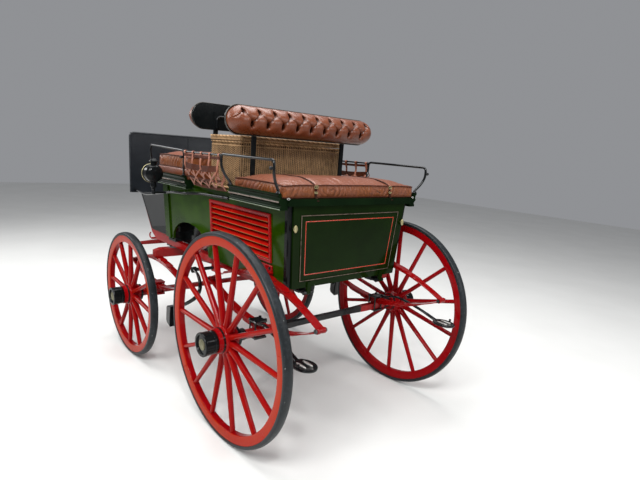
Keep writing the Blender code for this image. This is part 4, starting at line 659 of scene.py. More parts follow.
NAVE = [
    (0, -0.078), (0.044, -0.078), (0.0505, -0.074), (0.054, -0.066), (0.0555, -0.058), (0.0665, -0.048),
    (0.073, -0.036), (0.0757, -0.024), (0.0757, 0.012), (0.0745, 0.018), (0.0705, 0.022), (0.0672, 0.0235),
    (0.0672, 0.026), (0.0650, 0.028), (0.0645, 0.046), (0.0635, 0.0575), (0, 0.0578),
]
INNER_BAND = [(0.0555, -0.074), (0.0575, -0.073), (0.0575, -0.060), (0.0555, -0.059)]
OUTER_BAND = [(0.066, 0.0245), (0.0685, 0.0255), (0.0685, 0.0335), (0.066, 0.0345)]
NAVE_LINE = [(0.0645, 0.0352), (0.0672, 0.0362), (0.0672, 0.0412), (0.0645, 0.0422)]
CAP_RADIUS, CAP_BASE, CAP_FACE = 0.0625, 0.0584, 0.1324
CAP_FOOT = [(0, 0), (0.93, 0), (0.96, 0.003), (0.965, 0.016), (0.925, 0.019), (0.925, 0.023), (0.968, 0.026)]
CAP_RIM = [(0.985, -0.016), (1, -0.012), (1, -0.003), (0.975, -0.0005), (0.93, 0), (0.80, 0), (0.77, -0.002),
           (0.745, -0.0085), (0, -0.009)]
CAP_DISC = [(0.47, -0.0095), (0.47, -0.0070), (0.45, -0.0058), (0.38, -0.0056), (0.36, -0.0066),
            (0.33, -0.0060), (0, -0.0052)]


def tread(radius, outer):
    """The solid tyre: a channel's lips, eased shoulders and a slightly crowned tread."""
    half, shoulder = 0.025, radius - 0.0045
    lip = [(outer + 0.0004, -half + 0.001), (outer + 0.002, -half), (radius - 0.0085, -half + 0.0002),
           (shoulder, -half + 0.003)]
    crown = [(radius - 0.0045 * (t / 4) ** 2, 0.022 * t / 4) for t in range(-3, 4)]
    profile = lip + crown + mirrored(lip)[len(lip):]
    return torus([[(a * math.cos(t), b, a * math.sin(t)) for a, b in profile] for t in turns(120)])


def wheel(node, side, x, radius, spokes, phase):
    """One wheel: felloes, spokes and nave in the wheel's paint, its nave bands, tyre and cap."""
    outer = radius - TYRE_DEPTH
    inner = outer - RIM_DEPTH
    pitch = 2 * math.pi / spokes
    first = phase if side > 0 else math.pi - phase
    wood = [felloes(outer, spokes // 2, first + pitch / 2)]
    wood += [spoke(first + pitch * k, inner) for k in range(spokes)]
    wood.append(lathe(NAVE, 56))
    cap = scaled(CAP_FOOT, CAP_RADIUS, CAP_BASE) + scaled(CAP_RIM, CAP_RADIUS, CAP_FACE)
    disc = scaled(CAP_DISC, CAP_RADIUS, CAP_FACE)
    place = wheel_place(x, side, radius)
    # The tints hold back the painted sunlight: none on the felloes, so that the spokes and the nave show
    # mostly the painted shade red
    for part, shapes, finish, smooth, tints, hides in (
        ("wood", wood, WHEEL_RED[side], 50, [0.0] + [0.72] * spokes + [0.8], (f"{node}_wheel",)),
        ("nave_bands", [lathe(INNER_BAND, 56), lathe(OUTER_BAND, 56)], IRON, 40, None, ()),
        ("nave_line", [lathe(NAVE_LINE, 56)], RED, 40, None, ()),
        ("tread", [tread(radius, outer)], TYRE, 50, None, (f"{node}_tyre",)),
        ("hub_cap", [lathe(cap, 56)], BLACK, 32, None, (f"{node}_cap",)),
        ("cap_disc", [lathe(disc, 48)], DISC_BRASS, 40, None, ()),
    ):
        shapes = [moved(shape, place) for shape in shapes]
        build(f"{node}_{part}", shapes, finish, f"{node}_wheel_body", smooth=smooth, tints=tints, hides=hides)


for axle, x, radius, spokes, phases in (
    ("rear", 0.0, REAR_RADIUS, 14, {"left": 1.4, "right": 10.7}),
    ("front", BASE, FRONT_RADIUS, 12, {"left": 5.0, "right": 5.0}),
):
    for label, side in SIDES:
        wheel(f"{axle}_{label}", side, x, radius, spokes, math.radians(phases[label]))


# Springs, clamps and steps

LEAF, LEAVES = 0.0075, 4
REACHES = (1.0, 0.74, 0.5, 0.27)
SPRING_Y = 0.472
AXLE_LOW = 0.5597 - 0.019
EYE = [(0.0072, -0.025), (0.0135, -0.025), (0.0145, -0.024), (0.0145, -0.0088), (0.0135, -0.0080)]


def leaf(x, y, half, eye_z, crown_z, sign, k):
    """One leaf of an elliptic spring; the shorter ones taper to a round end."""
    middle = crown_z - sign * LEAF * LEAVES
    reach = REACHES[k]
    steps = 28 if k == 0 else 20
    rows = []
    for i in range(steps + 1):
        u = reach * (-1 + 2 * i / steps)
        level = eye_z + (middle - eye_z) * (1 - u * u)
        wide = thin = 1.0
        if k:
            from_end = (reach - abs(u)) * half
            wide = min(1.0, 0.35 + 0.65 * math.sqrt(max(0.0, min(1.0, from_end / 0.022))))
            thin = min(1.0, 0.5 + 0.5 * from_end / 0.05)
        z = level + sign * LEAF * (k + 0.5 * thin)
        rows.append([(x + half * u, y + a * wide, z + b * thin) for a, b in bar(0.05, LEAF - 0.0010, 0.0024)])
    return solid(rows)


def spring(name, x, half, eye_z, top, bottom, side, body):
    """A full elliptic spring with rolled eyes and a bolt with two nuts through each pair."""
    y = side * SPRING_Y
    leaves = [leaf(x, y, half, eye_z + 0.0058, top, 1, k) for k in range(LEAVES)]
    leaves += [leaf(x, y, half, eye_z - 0.0058, bottom, -1, k) for k in range(LEAVES)]
    bolts = []
    for end in (-1, 1):
        eye = (x + end * (half + 0.00725), y, eye_z)
        leaves.append(turned(mirrored(EYE), eye, 28, "y"))
        bolts.append(turned(mirrored([(0, -0.0275), (0.0065, -0.0275)]), eye, 16, "y"))
        for low, high in ((-0.0345, -0.0262), (0.0262, 0.0345)):
            bolts.append(turned(pin(0.0115, low, high), eye, 6, "y"))
    build(f"{name}_leaves", leaves, IRON_RED, body, smooth=35, hides=(name,))
    build(f"{name}_eye_bolts", bolts, IRON, body, smooth=35)


def clamp(name, side, bottom):
    """The legs of two U-bolts beside the axle, the plates that they draw together and their nuts."""
    y = side * SPRING_Y
    top = bottom + LEAF * LEAVES + 0.0035
    low = AXLE_LOW - 0.0004
    half = 0.037
    levels = ((top, top + 0.010), (low - 0.011, low))
    plates = [block(-half, half, y - half, y + half, z0, z1) for z0, z1 in levels]
    build(f"{name}_plates", plates, IRON, smooth=30, bevel=0.002)
    rods = []
    for x in (-0.026, 0.026):
        for across in (-0.0318, 0.0318):
            rods.append(tube([(x, y + across, low - 0.013), (x, y + across, top + 0.0175)], 0.0046))
            rods.append(hexagon((x, y + across, 0), 0.0088, top + 0.0102, top + 0.0158))
    build(f"{name}_bolts", rods, IRON, smooth=35)


def hanger(label, side):
    """The iron that carries the body on the rear spring: a shelf over the leaves and a foot on the panel."""
    z = 0.891
    shelf = z + 0.0135
    foot = []
    for level in (z - 0.045, z + 0.045):
        stands = ((-0.055, 0.0005), (-0.055, 0.012), (0.055, 0.012), (0.055, 0.0005))
        foot.append([(x, side * (body_half(level) + stand), level) for x, stand in stands])
    plate = block(-0.065, 0.065, side * (body_half(z) + 0.0065), side * (SPRING_Y + 0.029), z, shelf)
    build(f"hanger_{label}", [plate, solid(foot)], IRON_RED, smooth=30, bevel=0.003)
    bolts = [hexagon((x, side * (SPRING_Y + 0.006), 0), 0.009, shelf, z + 0.021) for x in (-0.045, 0.045)]
    head = lathe([(0, 0), (0.0085, 0), (0.0075, 0.003), (0.004, 0.0052), (0, 0.006)], 18)
    for x in (-0.038, 0.038):
        for level in (z - 0.028, z + 0.03):
            place = Matrix.Translation((x, side * (body_half(level) + 0.0118), level))
            bolts.append(moved(head, place @ facing(side)))
    build(f"hanger_bolts_{label}", bolts, IRON, smooth=35)


def step(label, side, spring_low):
    """The step behind the rear axle: its arm, its oval tread and the two worn bars on it."""
    x, y, z = -0.496, side * 0.546, 0.576
    clamp_top = spring_low + 0.03 + 0.0095
    arm = curve([(0.03, side * 0.502, clamp_top), (-0.05, side * 0.506, clamp_top + 0.003),
                 (-0.144, side * 0.524, 0.645), (-0.3, side * 0.537, 0.618), (-0.44, y, z + 0.001)], 9)
    flare = lambda t: (1.0 + 0.25 * max(0, t - 0.8) * 5, 1.0)
    shapes = [sweep(arm, bar(0.024, 0.010, 0.003), flat=(0, 1, 0), scale=flare)]
    edge = ((-0.004, -0.006), (-0.0012, -0.0055), (0, -0.003), (0, 0.003), (-0.0014, 0.0052), (-0.005, 0.006),
            (-0.009, 0.0052), (-0.011, 0.004))
    shapes.append(solid([oval(x, y, z + up, 0.07 + grow, 0.056 + grow, 48) for grow, up in edge]))
    stud = [(0, 0), (0.0062, 0), (0.0055, 0.012), (0.0072, 0.017), (0.006, 0.0215), (0, 0.0225)]
    shapes.append(turned(stud, (x - 0.012, y + side * 0.046, z), 18))
    build(f"step_{label}", shapes, IRON, hides=(f"clamp_and_step_{label}",))
    rib = ((0.0, 0.003), (0.0, 0.0075), (-0.0018, 0.0092), (-0.004, 0.0098))
    ribs = [solid([oval(x, y + across, z + up, 0.036 + grow, 0.0078 + grow, 28) for grow, up in rib])
            for across in (-0.02, 0.02)]
    build(f"step_bars_{label}", ribs, STEEL)


REAR_SPRING_LOW = 0.586
for label, side in SIDES:
    spring(f"rear_spring_{label}", 0.0, 0.50, 0.735, 0.893, REAR_SPRING_LOW, side, "carriage")
    spring(f"front_spring_{label}", BASE, 0.45, 0.583, 0.7, 0.468, side, "fore_carriage")
    clamp(f"rear_clamp_{label}", side, REAR_SPRING_LOW)
    hanger(label, side)
    step(label, side, REAR_SPRING_LOW)


# Body shell: the CAD's flat boards keep their place and take their finish

dress(BLACK, 0.0015, "boot_floor", "footboard", "turntable_plate", "rear_pillar_left", "rear_pillar_right",
      "rear_backboard", "front_backboard")
dress(IRON, 0.0012, "brake_rod", "brake_lever", "brake_quadrant")
dress(GREEN, 0.0015, "side_panel_left", "side_panel_right", "deck_board")
dress(RED, 0.002, "sill_left", "sill_right", "fore_carriage_frame", "swingletree")
dress(IRON_RED, 0.002, "front_axle")
dress(AXLE, 0.003, "rear_axle")
dress(TAIL_GREEN, 0.0012, "tailboard")


# The brake's cross shaft

SHAFT = Vector((0.66, 0, 0.757))
SHAFT_HALF = 0.534
BLOCK_GAP = 0.0055


def brake_arm(side):
    """The bent flat arm that carries a block, and the collar beside it."""
    arm = curve([(0.66, side * 0.521, 0.757), (0.585, side * 0.53, 0.742), (0.52, side * 0.547, 0.69),
                 (0.51, side * 0.572, 0.635), (0.553, side * 0.6, 0.588), (0.612, side * 0.632, 0.548),
                 (0.634, side * 0.672, 0.512)], 8)
    collar = mirrored([(0.0112, -0.0145), (0.0175, -0.0145), (0.0190, -0.0130)])
    return [sweep(arm, bar(0.026, 0.0105, 0.003), flat=(0, 0.8, 0.6)),
            turned(collar, SHAFT + Vector((0, side * 0.5195, 0)), 28, "y")]


def block_outline():
    """A block from the side: its face follows the tyre when the brake is pulled, so at rest it leans back."""
    back = Matrix.Rotation(-math.radians(8), 4, "Y")
    face = []
    for z in (0.445, 0.4775, 0.51, 0.5425, 0.575):
        x = math.sqrt((REAR_RADIUS + BLOCK_GAP) ** 2 - (z - REAR_RADIUS) ** 2)
        face.append(SHAFT + back @ (Vector((x, 0, z)) - SHAFT))
    return [(p.x, p.z) for p in face] + [(0.640, 0.556), (0.647, 0.548), (0.649, 0.466), (0.640, 0.449)]


def brake_shaft():
    """The cross shaft with its collars and arm, and at each end a bent flat arm that carries a block."""
    irons = [turned(mirrored([(0, -SHAFT_HALF), (0.0095, -SHAFT_HALF), (0.0110, -0.5325)]), SHAFT, 24, "y")]
    blocks = []
    outline = block_outline()
    half, middle_x, middle_z = 0.023, 0.618, 0.508
    for _label, side in SIDES:
        irons += brake_arm(side)
        y = side * (TRACK + 0.003)
        rows = []
        for level, ease in ((y - half, 0.06), (y - half + 0.003, 0), (y + half - 0.003, 0), (y + half, 0.06)):
            rows.append([(x + (middle_x - x) * ease, level, z + (middle_z - z) * ease) for x, z in outline])
        blocks.append(solid(rows))
        for z in (0.481, 0.533):
            rivet = [(0, 0), (0.006, 0), (0.005, 0.003), (0, 0.0045)]
            irons.append(turned(rivet, (0.6485, side * 0.681, z), 14, "x"))
    lean, reach = math.radians(4), 0.15
    foot = SHAFT + Vector((0, -0.505, 0))
    top = foot + Vector((-math.sin(lean) * reach, 0, math.cos(lean) * reach))
    irons.append(sweep([foot, top], bar(0.0078, 0.022, 0.002), flat=(0, 1, 0)))
    irons += [turned(pin(0.012, -0.004, 0.004), top, 22, "y"), turned(pin(0.005, 0.0, 0.022), top, 22, "y")]
    build("brake_irons", irons, IRON, "brake_shaft_body", hides=("brake_shaft",))
    build("brake_blocks", blocks, IRON, "brake_shaft_body", "black_tyre", smooth=30)


brake_shaft()


# The tailboard's lines and its thumb turns

TAIL_LOW, TAIL_HIGH = 0.833, 1.2696


def tail_strip(name, low, high, inset, width, proud, finish):
    """A rectangular strip on the tailboard's face, held in from the pillars."""
    rows = []
    sunk, mid = -0.0006, proud * 0.5
    for grow, stand in ((0, sunk), (0, mid), (0.25, proud), (0.75, proud), (1, mid), (1, sunk)):
        d = width * grow
        row = []
        for z, out in ((low + d, -1), (low + d, 1), (high - d, 1), (high - d, -1)):
            half = body_half(z) - 0.026 - 0.0012 - inset - d
            row.append((tail_x(z) - 0.010 - stand, out * half, z))
        rows.append(row)
    build(name, grid(rows, loop_columns=True), finish, "tailboard_body", smooth=0)


def thumb_turn(label, side):
    """A brass turn: a boss on the tailboard and a waisted thumb plate."""
    z = 1.157
    at = (tail_x(z) - 0.012, side * 0.414, z)
    boss = [(0, 0), (0.0082, 0), (0.0085, -0.0015), (0.0085, -0.0045), (0.0060, -0.0060), (0.0056, -0.0100),
            (0.0048, -0.0125), (0, -0.0132)]
    plate = []
    for grow, depth in ((-0.0012, -0.0050), (0, -0.0060), (0.0003, -0.0090), (0, -0.0125), (-0.0014, -0.0138)):
        row = []
        for t in turns(36):
            waist = 1 - 0.28 * math.cos(2 * t + math.pi)
            row.append((depth, (0.0093 + grow) * math.cos(t) * waist, (0.0197 + grow) * math.sin(t)))
        plate.append(row)
    shapes = [turned(boss, at, 32, "x"), moved(solid(plate), Matrix.Translation(at))]
    build(f"turn_{label}", shapes, BRASS, f"{label}_turn_body", smooth=45, hides=(f"thumb_turn_{label}",))


tail_strip("tail_bead", TAIL_LOW + 0.0355, TAIL_HIGH - 0.0455, 0.0475, 0.0060, 0.0042, TAIL_LINE)
tail_strip("tail_inner_line", TAIL_LOW + 0.068, TAIL_HIGH - 0.078, 0.080, 0.0045, 0.0009, LINE_RED)
for label, side in SIDES:
    thumb_turn(label, side)


# Louvred vents

SLATS = 7
LOUVRE_FRAME = [
    (0, 0.0006), (0, 0.0080), (0.0016, 0.0104), (0.0045, 0.0110), (0.0130, 0.0110), (0.0160, 0.0096),
    (0.0176, 0.0072), (0.0180, 0.0035), (0.0226, 0.0035), (0.0226, -0.0145), (0.0184, -0.0145),
    (0.0184, 0.0006),
]


def louvre(label, side):
    """A louvred vent: a moulded frame with rounded, sloping slats whose front edges show worn paint."""
    x0, x1, z0, z1 = -0.043, 0.601, 0.947, 1.212

    def on_side(x, z, stand):
        return x, side * (body_half(z) + stand), z

    rows = []
    for inset, stand in LOUVRE_FRAME:
        a, b, low, high = x0 + inset, x1 - inset, z0 + inset, z1 - inset
        rows.append([on_side(x, z, stand) for x, z in ((a, low), (b, low), (b, high), (a, high))])
    build(f"louvre_frame_{label}", torus(rows), RED, smooth=35, hides=(f"louvre_{label}",))
    slats, lips = [], []
    front, back = 0.0088, -0.0128
    pitch = (z1 - z0 - 0.036) / SLATS
    rise = pitch * 0.52
    for k in range(SLATS):
        base = z0 + 0.018 + pitch * k + 0.0015
        section = [(front - 0.0010, base), (front, base + 0.0014), (front, base + 0.0050),
                   (front - 0.0014, base + 0.0064), (front - 0.006, base + 0.0085),
                   (back, base + rise + 0.006), (back, base + rise), (front - 0.007, base + 0.0030)]
        lip = [(front - 0.0001, base + 0.0012), (front + 0.0005, base + 0.0020),
               (front + 0.0005, base + 0.0044), (front - 0.0001, base + 0.0052)]
        for made, outline, inset in ((slats, section, 0.0215), (lips, lip, 0.022)):
            ends = (x0 + inset, x1 - inset)
            made.append(solid([[on_side(x, z, stand) for stand, z in outline] for x in ends]))
    build(f"louvre_slats_{label}", slats, LOUVRE_RED, smooth=30)
    build(f"louvre_edges_{label}", lips, EDGE_RED, smooth=30)


for label, side in SIDES:
    louvre(label, side)


# Seat boards with their mouldings, and the iron behind the front backboard

CUSHION_HALF = 0.502
MOULDING = [
    (0.463, BOARD_LOW), (0.463, 1.3080), (0.5105, 1.3080), (0.5115, 1.331), (0.5135, SEAT_TOP),
    (0.5290, SEAT_TOP),
    (0.5308, 1.3322), (0.5308, 1.3262), (0.5295, 1.3240), (0.5245, 1.3190), (0.5208, 1.3115), (0.5200, 1.3030),
    (0.5250, 1.2980), (0.5258, 1.2960), (0.5258, 1.2895), (0.5240, 1.2880), (0.5175, 1.2835), (0.5130, 1.2765),
    (0.5118, 1.2690), (0.5165, 1.2640), (0.5172, 1.2620), (0.5172, 1.2535), (0.5155, 1.2521),
    (body_half(BODY_TOP) + 0.0145, 1.2521), (body_half(BODY_TOP) + 0.0145, BOARD_LOW),
]


def board_stay():
    """The bent iron behind the front backboard, from post to post, with its feet bolted to them."""
    back, low, high, reach = 0.7435, 1.647, 1.718, 0.346
    corners = [(back, y, z) for y, z in ((-reach, low), (-reach, high), (reach, high), (reach, low))]
    shapes = [tube(rounded(corners, 0.060, 10), 0.0062, 14)]
    for _label, side in SIDES:
        foot = (side * (reach - 0.011), side * (reach + 0.011), low - 0.014, low + 0.012)
        shapes.append(block(back - 0.003, back + 0.0048, *foot))
        shapes.append(hexagon((back - 0.003, side * reach, low - 0.004), 0.0065, -0.0045, 0.001, "x"))
    build("front_board_stay", shapes, IRON)


def seat_board(name, back, riser):
    """A seat board: a slab between two run mouldings, each with a bead along it and a pale lower edge, both
    partly silver lining and partly painted highlight.
    """
    front = back + 0.49
    shapes = [block(back, front, -0.470, 0.470, BOARD_LOW, BOARD_TOP)]
    beads, edges = [], []
    for _label, side in SIDES:
        shapes.append(solid([[(x, side * y, z) for y, z in MOULDING] for x in (back + 0.012, front - 0.004)]))
        ends = (back + 0.0125, front - 0.0045)
        # The two pale strips stand partly for lining and partly for the painted highlight along the moulding's
        # rounds
        beads.append(block(*ends, side * 0.5248, side * 0.5266, 1.2898, 1.2957))
        edges.append(block(*ends, side * 0.5162, side * 0.5178, 1.2536, 1.2572))
    build(f"{name}_wood", shapes, SEAT_GREEN, hides=(name,))
    build(f"{name}_bead", beads, SILVER_AND_PAINTED_HIGHLIGHT, smooth=0, bevel=0.0006)
    build(f"{name}_low_bead", edges, PALE_EDGE_AND_PAINTED_HIGHLIGHT, smooth=0, bevel=0.0005)
    if riser:
        box = soft_box(back + 0.016, front - 0.016, CUSHION_HALF, BOARD_TOP - 0.0006, SEAT_TOP + riser, 0.006)
        build(f"{name}_riser", box, ROLL_LEATHER, smooth=60)


REAR_SEAT, FRONT_SEAT = -0.215, 0.795
board_stay()
seat_board("rear_seat_board", REAR_SEAT, 0)
seat_board("front_seat_board", FRONT_SEAT, 0.04)
eyes = []
for _label, side in SIDES:
    loop = [(-0.2165, side * 0.478 + 0.0085 * math.cos(t), 1.3095 + 0.0040 * math.sin(t)) for t in turns(24)]
    eyes.append(tube(loop, 0.0017, 8, loop=True))
build("seat_rear_eyes", eyes, STEEL)


# Cushions: inflated over their seams by a cloth simulation

LONG = 0.46
DRAW = 0.012
BOARD_MARGIN = 0.016


def cushion_edge(x_mid, base_z, thick, u, v, share, inset=0.0):
    """A point of a cushion's boxing, drawn in between the corners; u and v run from -1 to 1."""
    swell = 0.004 * math.sin(math.pi * share) - inset
    px = (LONG / 2 - DRAW * (1 - v * v) * (abs(u) > 0.999) + swell) * u
    py = (CUSHION_HALF - DRAW * (1 - u * u) * (abs(v) > 0.999) + swell) * v
    corner = 0.024
    near_x, near_y = LONG / 2 - abs(px), CUSHION_HALF - abs(py)
    if near_x < corner and near_y < corner:
        cut = 1 - corner / max(math.hypot(corner - near_x, corner - near_y), corner)
        px -= math.copysign((corner - near_x) * cut, px)
        py -= math.copysign((corner - near_y) * cut, py)
    droop = 0.009 + 0.007 * abs(u) ** 5 * abs(v) ** 9
    return Vector((x_mid + px, py, base_z + inset * 0.3 + (thick - droop - inset * 0.6) * share))


def around(count_u, count_v):
    """(u, v) pairs once round a cushion's edge."""
    us = [-1 + 2 * i / count_u for i in range(count_u + 1)]
    vs = [-1 + 2 * i / count_v for i in range(count_v + 1)]
    made = [(u, -1.0) for u in us[:-1]] + [(1.0, v) for v in vs[:-1]]
    return made + [(u, 1.0) for u in reversed(us[1:])] + [(-1.0, v) for v in reversed(vs[1:])]


def cushion_shell(x_mid, base_z, thick, crown):
    """A cushion before it is inflated: its boxing, a crowned top and a flat base."""
    nu, nv, levels = 24, 48, 6
    edge = around(nu, nv)
    rows = []
    for level in range(levels + 1):
        rows.append([cushion_edge(x_mid, base_z, thick, u, v, level / levels, 0.003) for u, v in edge])
    points, faces = grid(rows, loop_columns=True)
    for level, z in ((0, 0.0), (levels, 1.0)):
        index = {(round(u * nu), round(v * nv)): level * len(edge) + j for j, (u, v) in enumerate(edge)}
        for i in range(1, nu):
            for j in range(1, nv):
                u, v = -1 + 2 * i / nu, -1 + 2 * j / nv
                index[(round(u * nu), round(v * nv))] = len(points)
                shoulder = (1 - abs(u) ** 7) * (1 - abs(v) ** 15)
                top = (crown * 0.62 * (1 - abs(u) ** 3) * (1 - abs(v) ** 6) + 0.009) * shoulder - 0.0099
                height = base_z + 0.001 + (thick - 0.002 + top) * z
                points.append((x_mid + LONG / 2 * u * 0.993, CUSHION_HALF * v * 0.993, height))
        for i in range(nu):
            for j in range(nv):
                corners = ((i, j), (i + 1, j), (i + 1, j + 1), (i, j + 1))
                spots = [index[(-nu + 2 * a, -nv + 2 * b)] for a, b in corners]
                faces.append(tuple(spots) if z else tuple(reversed(spots)))
    return points, faces


def smoothed(path, times):
    """A closed path with its corners eased."""
    for _ in range(times):
        path = [(path[i - 1] + path[i] * 2 + path[(i + 1) % len(path)]) / 4 for i in range(len(path))]
    return path


def cushion(name, node, back, base_z, thick, straps=()):
    """A seat cushion: crowned top, wrinkled boxing between two piped seams, and a flat base on its board."""
    x_mid = back + BOARD_MARGIN + LONG / 2

    def held(point):
        """The base, and the upper seam's line, stay where they are."""
        x, y, z = point
        from_edge = min(CUSHION_HALF - abs(y), LONG / 2 - abs(x - x_mid - SHIFT))
        return z < base_z + 0.006 or (z > base_z + thick - 0.022 and from_edge < 0.007 + DRAW * 0.9)

    made = build(name, cushion_shell(x_mid, base_z, thick, 0.022), SEAT_LEATHER, smooth=0, hides=(node,))
    inflate(made, held)
    refine(made, x_mid, base_z, thick, straps)
    for level, share in (("top", 1.0), ("low", 0.0)):
        path = []
        for u, v in around(40, 88):
            p = cushion_edge(x_mid, base_z, thick, u, v, share)
            if share:
                dip = sum(math.exp(-(((p.y - y) / 0.030) ** 2)) for y in straps)
                p.z += 0.0012 - 0.0028 * dip + 0.0008 * noise.noise(p * 14)
            else:
                p.z += 0.0032
            path.append(p)
        build(f"{name}_piping_{level}", tube(smoothed(path, 3), 0.0034, 10, loop=True), PIPING, smooth=60)
    return made


def apply_modifiers(made):
    """Puts what an object's modifiers make into its mesh."""
    mesh = bpy.data.meshes.new_from_object(made.evaluated_get(bpy.context.evaluated_depsgraph_get()))
    made.modifiers.clear()
    made.data = mesh
    return mesh


def read_points(source, key, count):
    """A mesh's vectors as rows of an array."""
    values = np.empty(count * 3)
    source.foreach_get(key, values)
    return values.reshape(-1, 3)


def inflate(made, held):
    """Swells a closed mesh by Blender's cloth with pressure; held points are pinned, and moves are capped."""
    cap = 0.012
    step = made.modifiers.new("even", "REMESH")
    step.mode = "VOXEL"
    step.voxel_size = 0.0065
    mesh = apply_modifiers(made)
    start = read_points(mesh.vertices, "co", len(mesh.vertices))
    made.vertex_groups.new(name="held").add([i for i, p in enumerate(start) if held(p)], 1.0, "REPLACE")
    cloth = made.modifiers.new("cloth", "CLOTH").settings
    cloth.quality = 4
    cloth.mass = 0.3
    cloth.use_pressure = True
    cloth.uniform_pressure_force = 4.0
    cloth.effector_weights.gravity = 0
    cloth.vertex_group_mass = "held"
    cloth.tension_stiffness = cloth.compression_stiffness = 12
    cloth.bending_stiffness = 0.6
    cloth.shrink_min = -0.014
    for number in range(1, 21):
        bpy.context.scene.frame_set(number)
    swollen = made.evaluated_get(bpy.context.evaluated_depsgraph_get()).data
    move = read_points(swollen.vertices, "co", len(swollen.vertices)) - start
    made.modifiers.clear()
    made.vertex_groups.clear()
    far = np.linalg.norm(move, axis=1, keepdims=True)
    move *= np.minimum(1.0, cap / np.maximum(far, 1e-9))
    mesh.vertices.foreach_set("co", (start + move).ravel())
    mesh.update()
    bpy.context.scene.frame_set(1)


def bell(value, width):
    return np.exp(-((value / width) ** 2))


def refine(made, x_mid, base_z, thick, straps):
    """The wrinkles of a cushion's boxing, the slack in its top and the dips under its straps, with painted
    shade in the folds and a painted sheen on the top.
    """
    mesh = made.data
    step = made.modifiers.new("smooth", "SUBSURF")
    step.levels = step.render_levels = 1
    mesh = apply_modifiers(made)
    at = read_points(mesh.vertices, "co", len(mesh.vertices))
    out = read_points(mesh.vertex_normals, "vector", len(mesh.vertices))
    x, y, z = at[:, 0] - SHIFT - x_mid, at[:, 1], at[:, 2]
    share = np.clip((z - base_z) / (thick - 0.009), 0, 1)
    boxing = np.clip(1 - np.abs(out[:, 2]) * 1.3, 0, 1) * np.sin(np.pi * share) ** 0.7
    along = np.where(np.abs(out[:, 0]) > np.abs(out[:, 1]), y, x)
    wander = np.array([noise.noise(Vector((a * 9, b * 9, c * 14))) for a, b, c in at])
    fine = np.array([noise.noise(Vector((a * 30, b * 30, c * 40))) for a, b, c in at])

    # The folds of the boxing lean one way or the other and come deep or shallow
    lean = np.tanh((np.sin(along * 17.0 + 0.8) + wander * 1.5) * 2.5)
    phase = along / 0.036 + share * 0.95 * lean + wander * 0.55 + fine * 0.16
    fold = np.sin(2 * np.pi * phase)
    deep = np.clip(-fold - 0.45, 0, 1) ** 1.3 * 1.6
    slack = 0.45 + 0.55 * np.clip(wander * 3.0 + 0.2, -1, 1)
    second = np.sin(2 * np.pi * (along / 0.021 - share * 1.3 * lean + wander))
    shift = boxing * (slack * (0.0016 * fold - 0.0026 * deep) + 0.0005 * second)

    # The top is slack, puckers along its seam and dips under the straps
    top = np.clip(out[:, 2] * 1.6 - 0.55, 0, 1)
    from_x, from_y = LONG / 2 - np.abs(x), CUSHION_HALF - np.abs(y)
    near = bell(np.minimum(from_x, from_y) - 0.016, 0.016)
    pull = np.sin(2 * np.pi * (np.where(from_x < from_y, y, x) / 0.043 + wander * 1.4))
    shift += top * (0.0022 * wander + 0.0005 * fine + near * 0.0010 * pull)
    for strap_y in straps:
        shift -= top * 0.0034 * bell(y - strap_y, 0.026)
        shift -= boxing * np.clip(-out[:, 0], 0, 1) * 0.0034 * bell(y - strap_y, 0.015)
    at += out * shift[:, None]
    at[:, 2] = np.maximum(at[:, 2], base_z)
    mesh.vertices.foreach_set("co", at.ravel())
    # Painted shade in the deep folds of the boxing and in the puckers by the seam, and a painted sheen on the
    # faces that look up
    pucker = top * near * np.clip(-pull, 0, 1) * 0.10
    write_values(mesh, "fold", np.clip(boxing * deep * slack * 0.8 + pucker, 0, 1))
    write_values(mesh, "top", top)
    mesh.update()
    mesh.shade_smooth()


STRAPS = (-0.287, 0.287)
rear_cushion = cushion("rear_seat_pad", "rear_cushion", REAR_SEAT, BOARD_TOP + 0.0004, 0.075, STRAPS)
cushion("front_seat_pad", "front_cushion", FRONT_SEAT, SEAT_TOP + 0.0404, 0.087)


# The two straps over the rear cushion

def seat_strap(number, y, tree):
    """A strap over the cushion's top and down its rear boxing, with a buckle and a keeper."""
    path = []
    for i in range(40):
        x = 0.232 - 0.428 * i / 39
        hit = tree.ray_cast(Vector((x + SHIFT, y, 1.6)), Vector((0, 0, -1)))[0]
        if hit:
            path.append(Vector((x, y, hit.z + 0.0036)))
    rear = []
    for i in range(12):
        z = 1.378 - 0.064 * i / 11
        hit = tree.ray_cast(Vector((-0.35 + SHIFT, y, z)), Vector((1, 0, 0)))[0]
        if hit:
            rear.append(Vector((hit.x - SHIFT - 0.0026, y, z)))
    corner = Vector((rear[0].x + 0.001, y, path[-1].z - 0.001))
    ends = [Vector((-0.2162, y, 1.309)), Vector((-0.2168, y, 1.296))]
    path = [p for p in path if p.x > corner.x + 0.004] + [corner] + rear + ends
    for _ in range(2):
        middle = [(path[i - 1] + path[i] * 2 + path[i + 1]) / 4 for i in range(1, len(path) - 1)]
        path = [path[0], *middle, path[-1]]
    build(f"seat_strap_{number}", sweep(path, strap(0.0155, 0.0026), flat=(0, 1, 0)), DARK_STRAP)
    parts = []
    for z, wide, high in ((rear[2].z, 0.0215, 0.0135), (rear[7].z, 0.0195, 0.0085)):
        x = min(p.x for p in rear if abs(p.z - z) < 0.012) - 0.0026
        corners = [(x, y + wide / 2 * a, z + high / 2 * b) for a, b in ((-1, -1), (1, -1), (1, 1), (-1, 1))]
        parts.append(tube(rounded(corners, 0.003, 4, loop=True), 0.0016, 8, loop=True))
        parts.append(tube([(x - 0.0008, y, z - high / 2), (x - 0.0012, y, z + high / 2)], 0.0011, 8))
    build(f"seat_buckle_{number}", parts, BRASS, smooth=50)


tree = bvhtree.BVHTree.FromObject(rear_cushion, bpy.context.evaluated_depsgraph_get())
for number, y in enumerate(STRAPS, 1):
    seat_strap(number, y, tree)


# Tufted back rolls

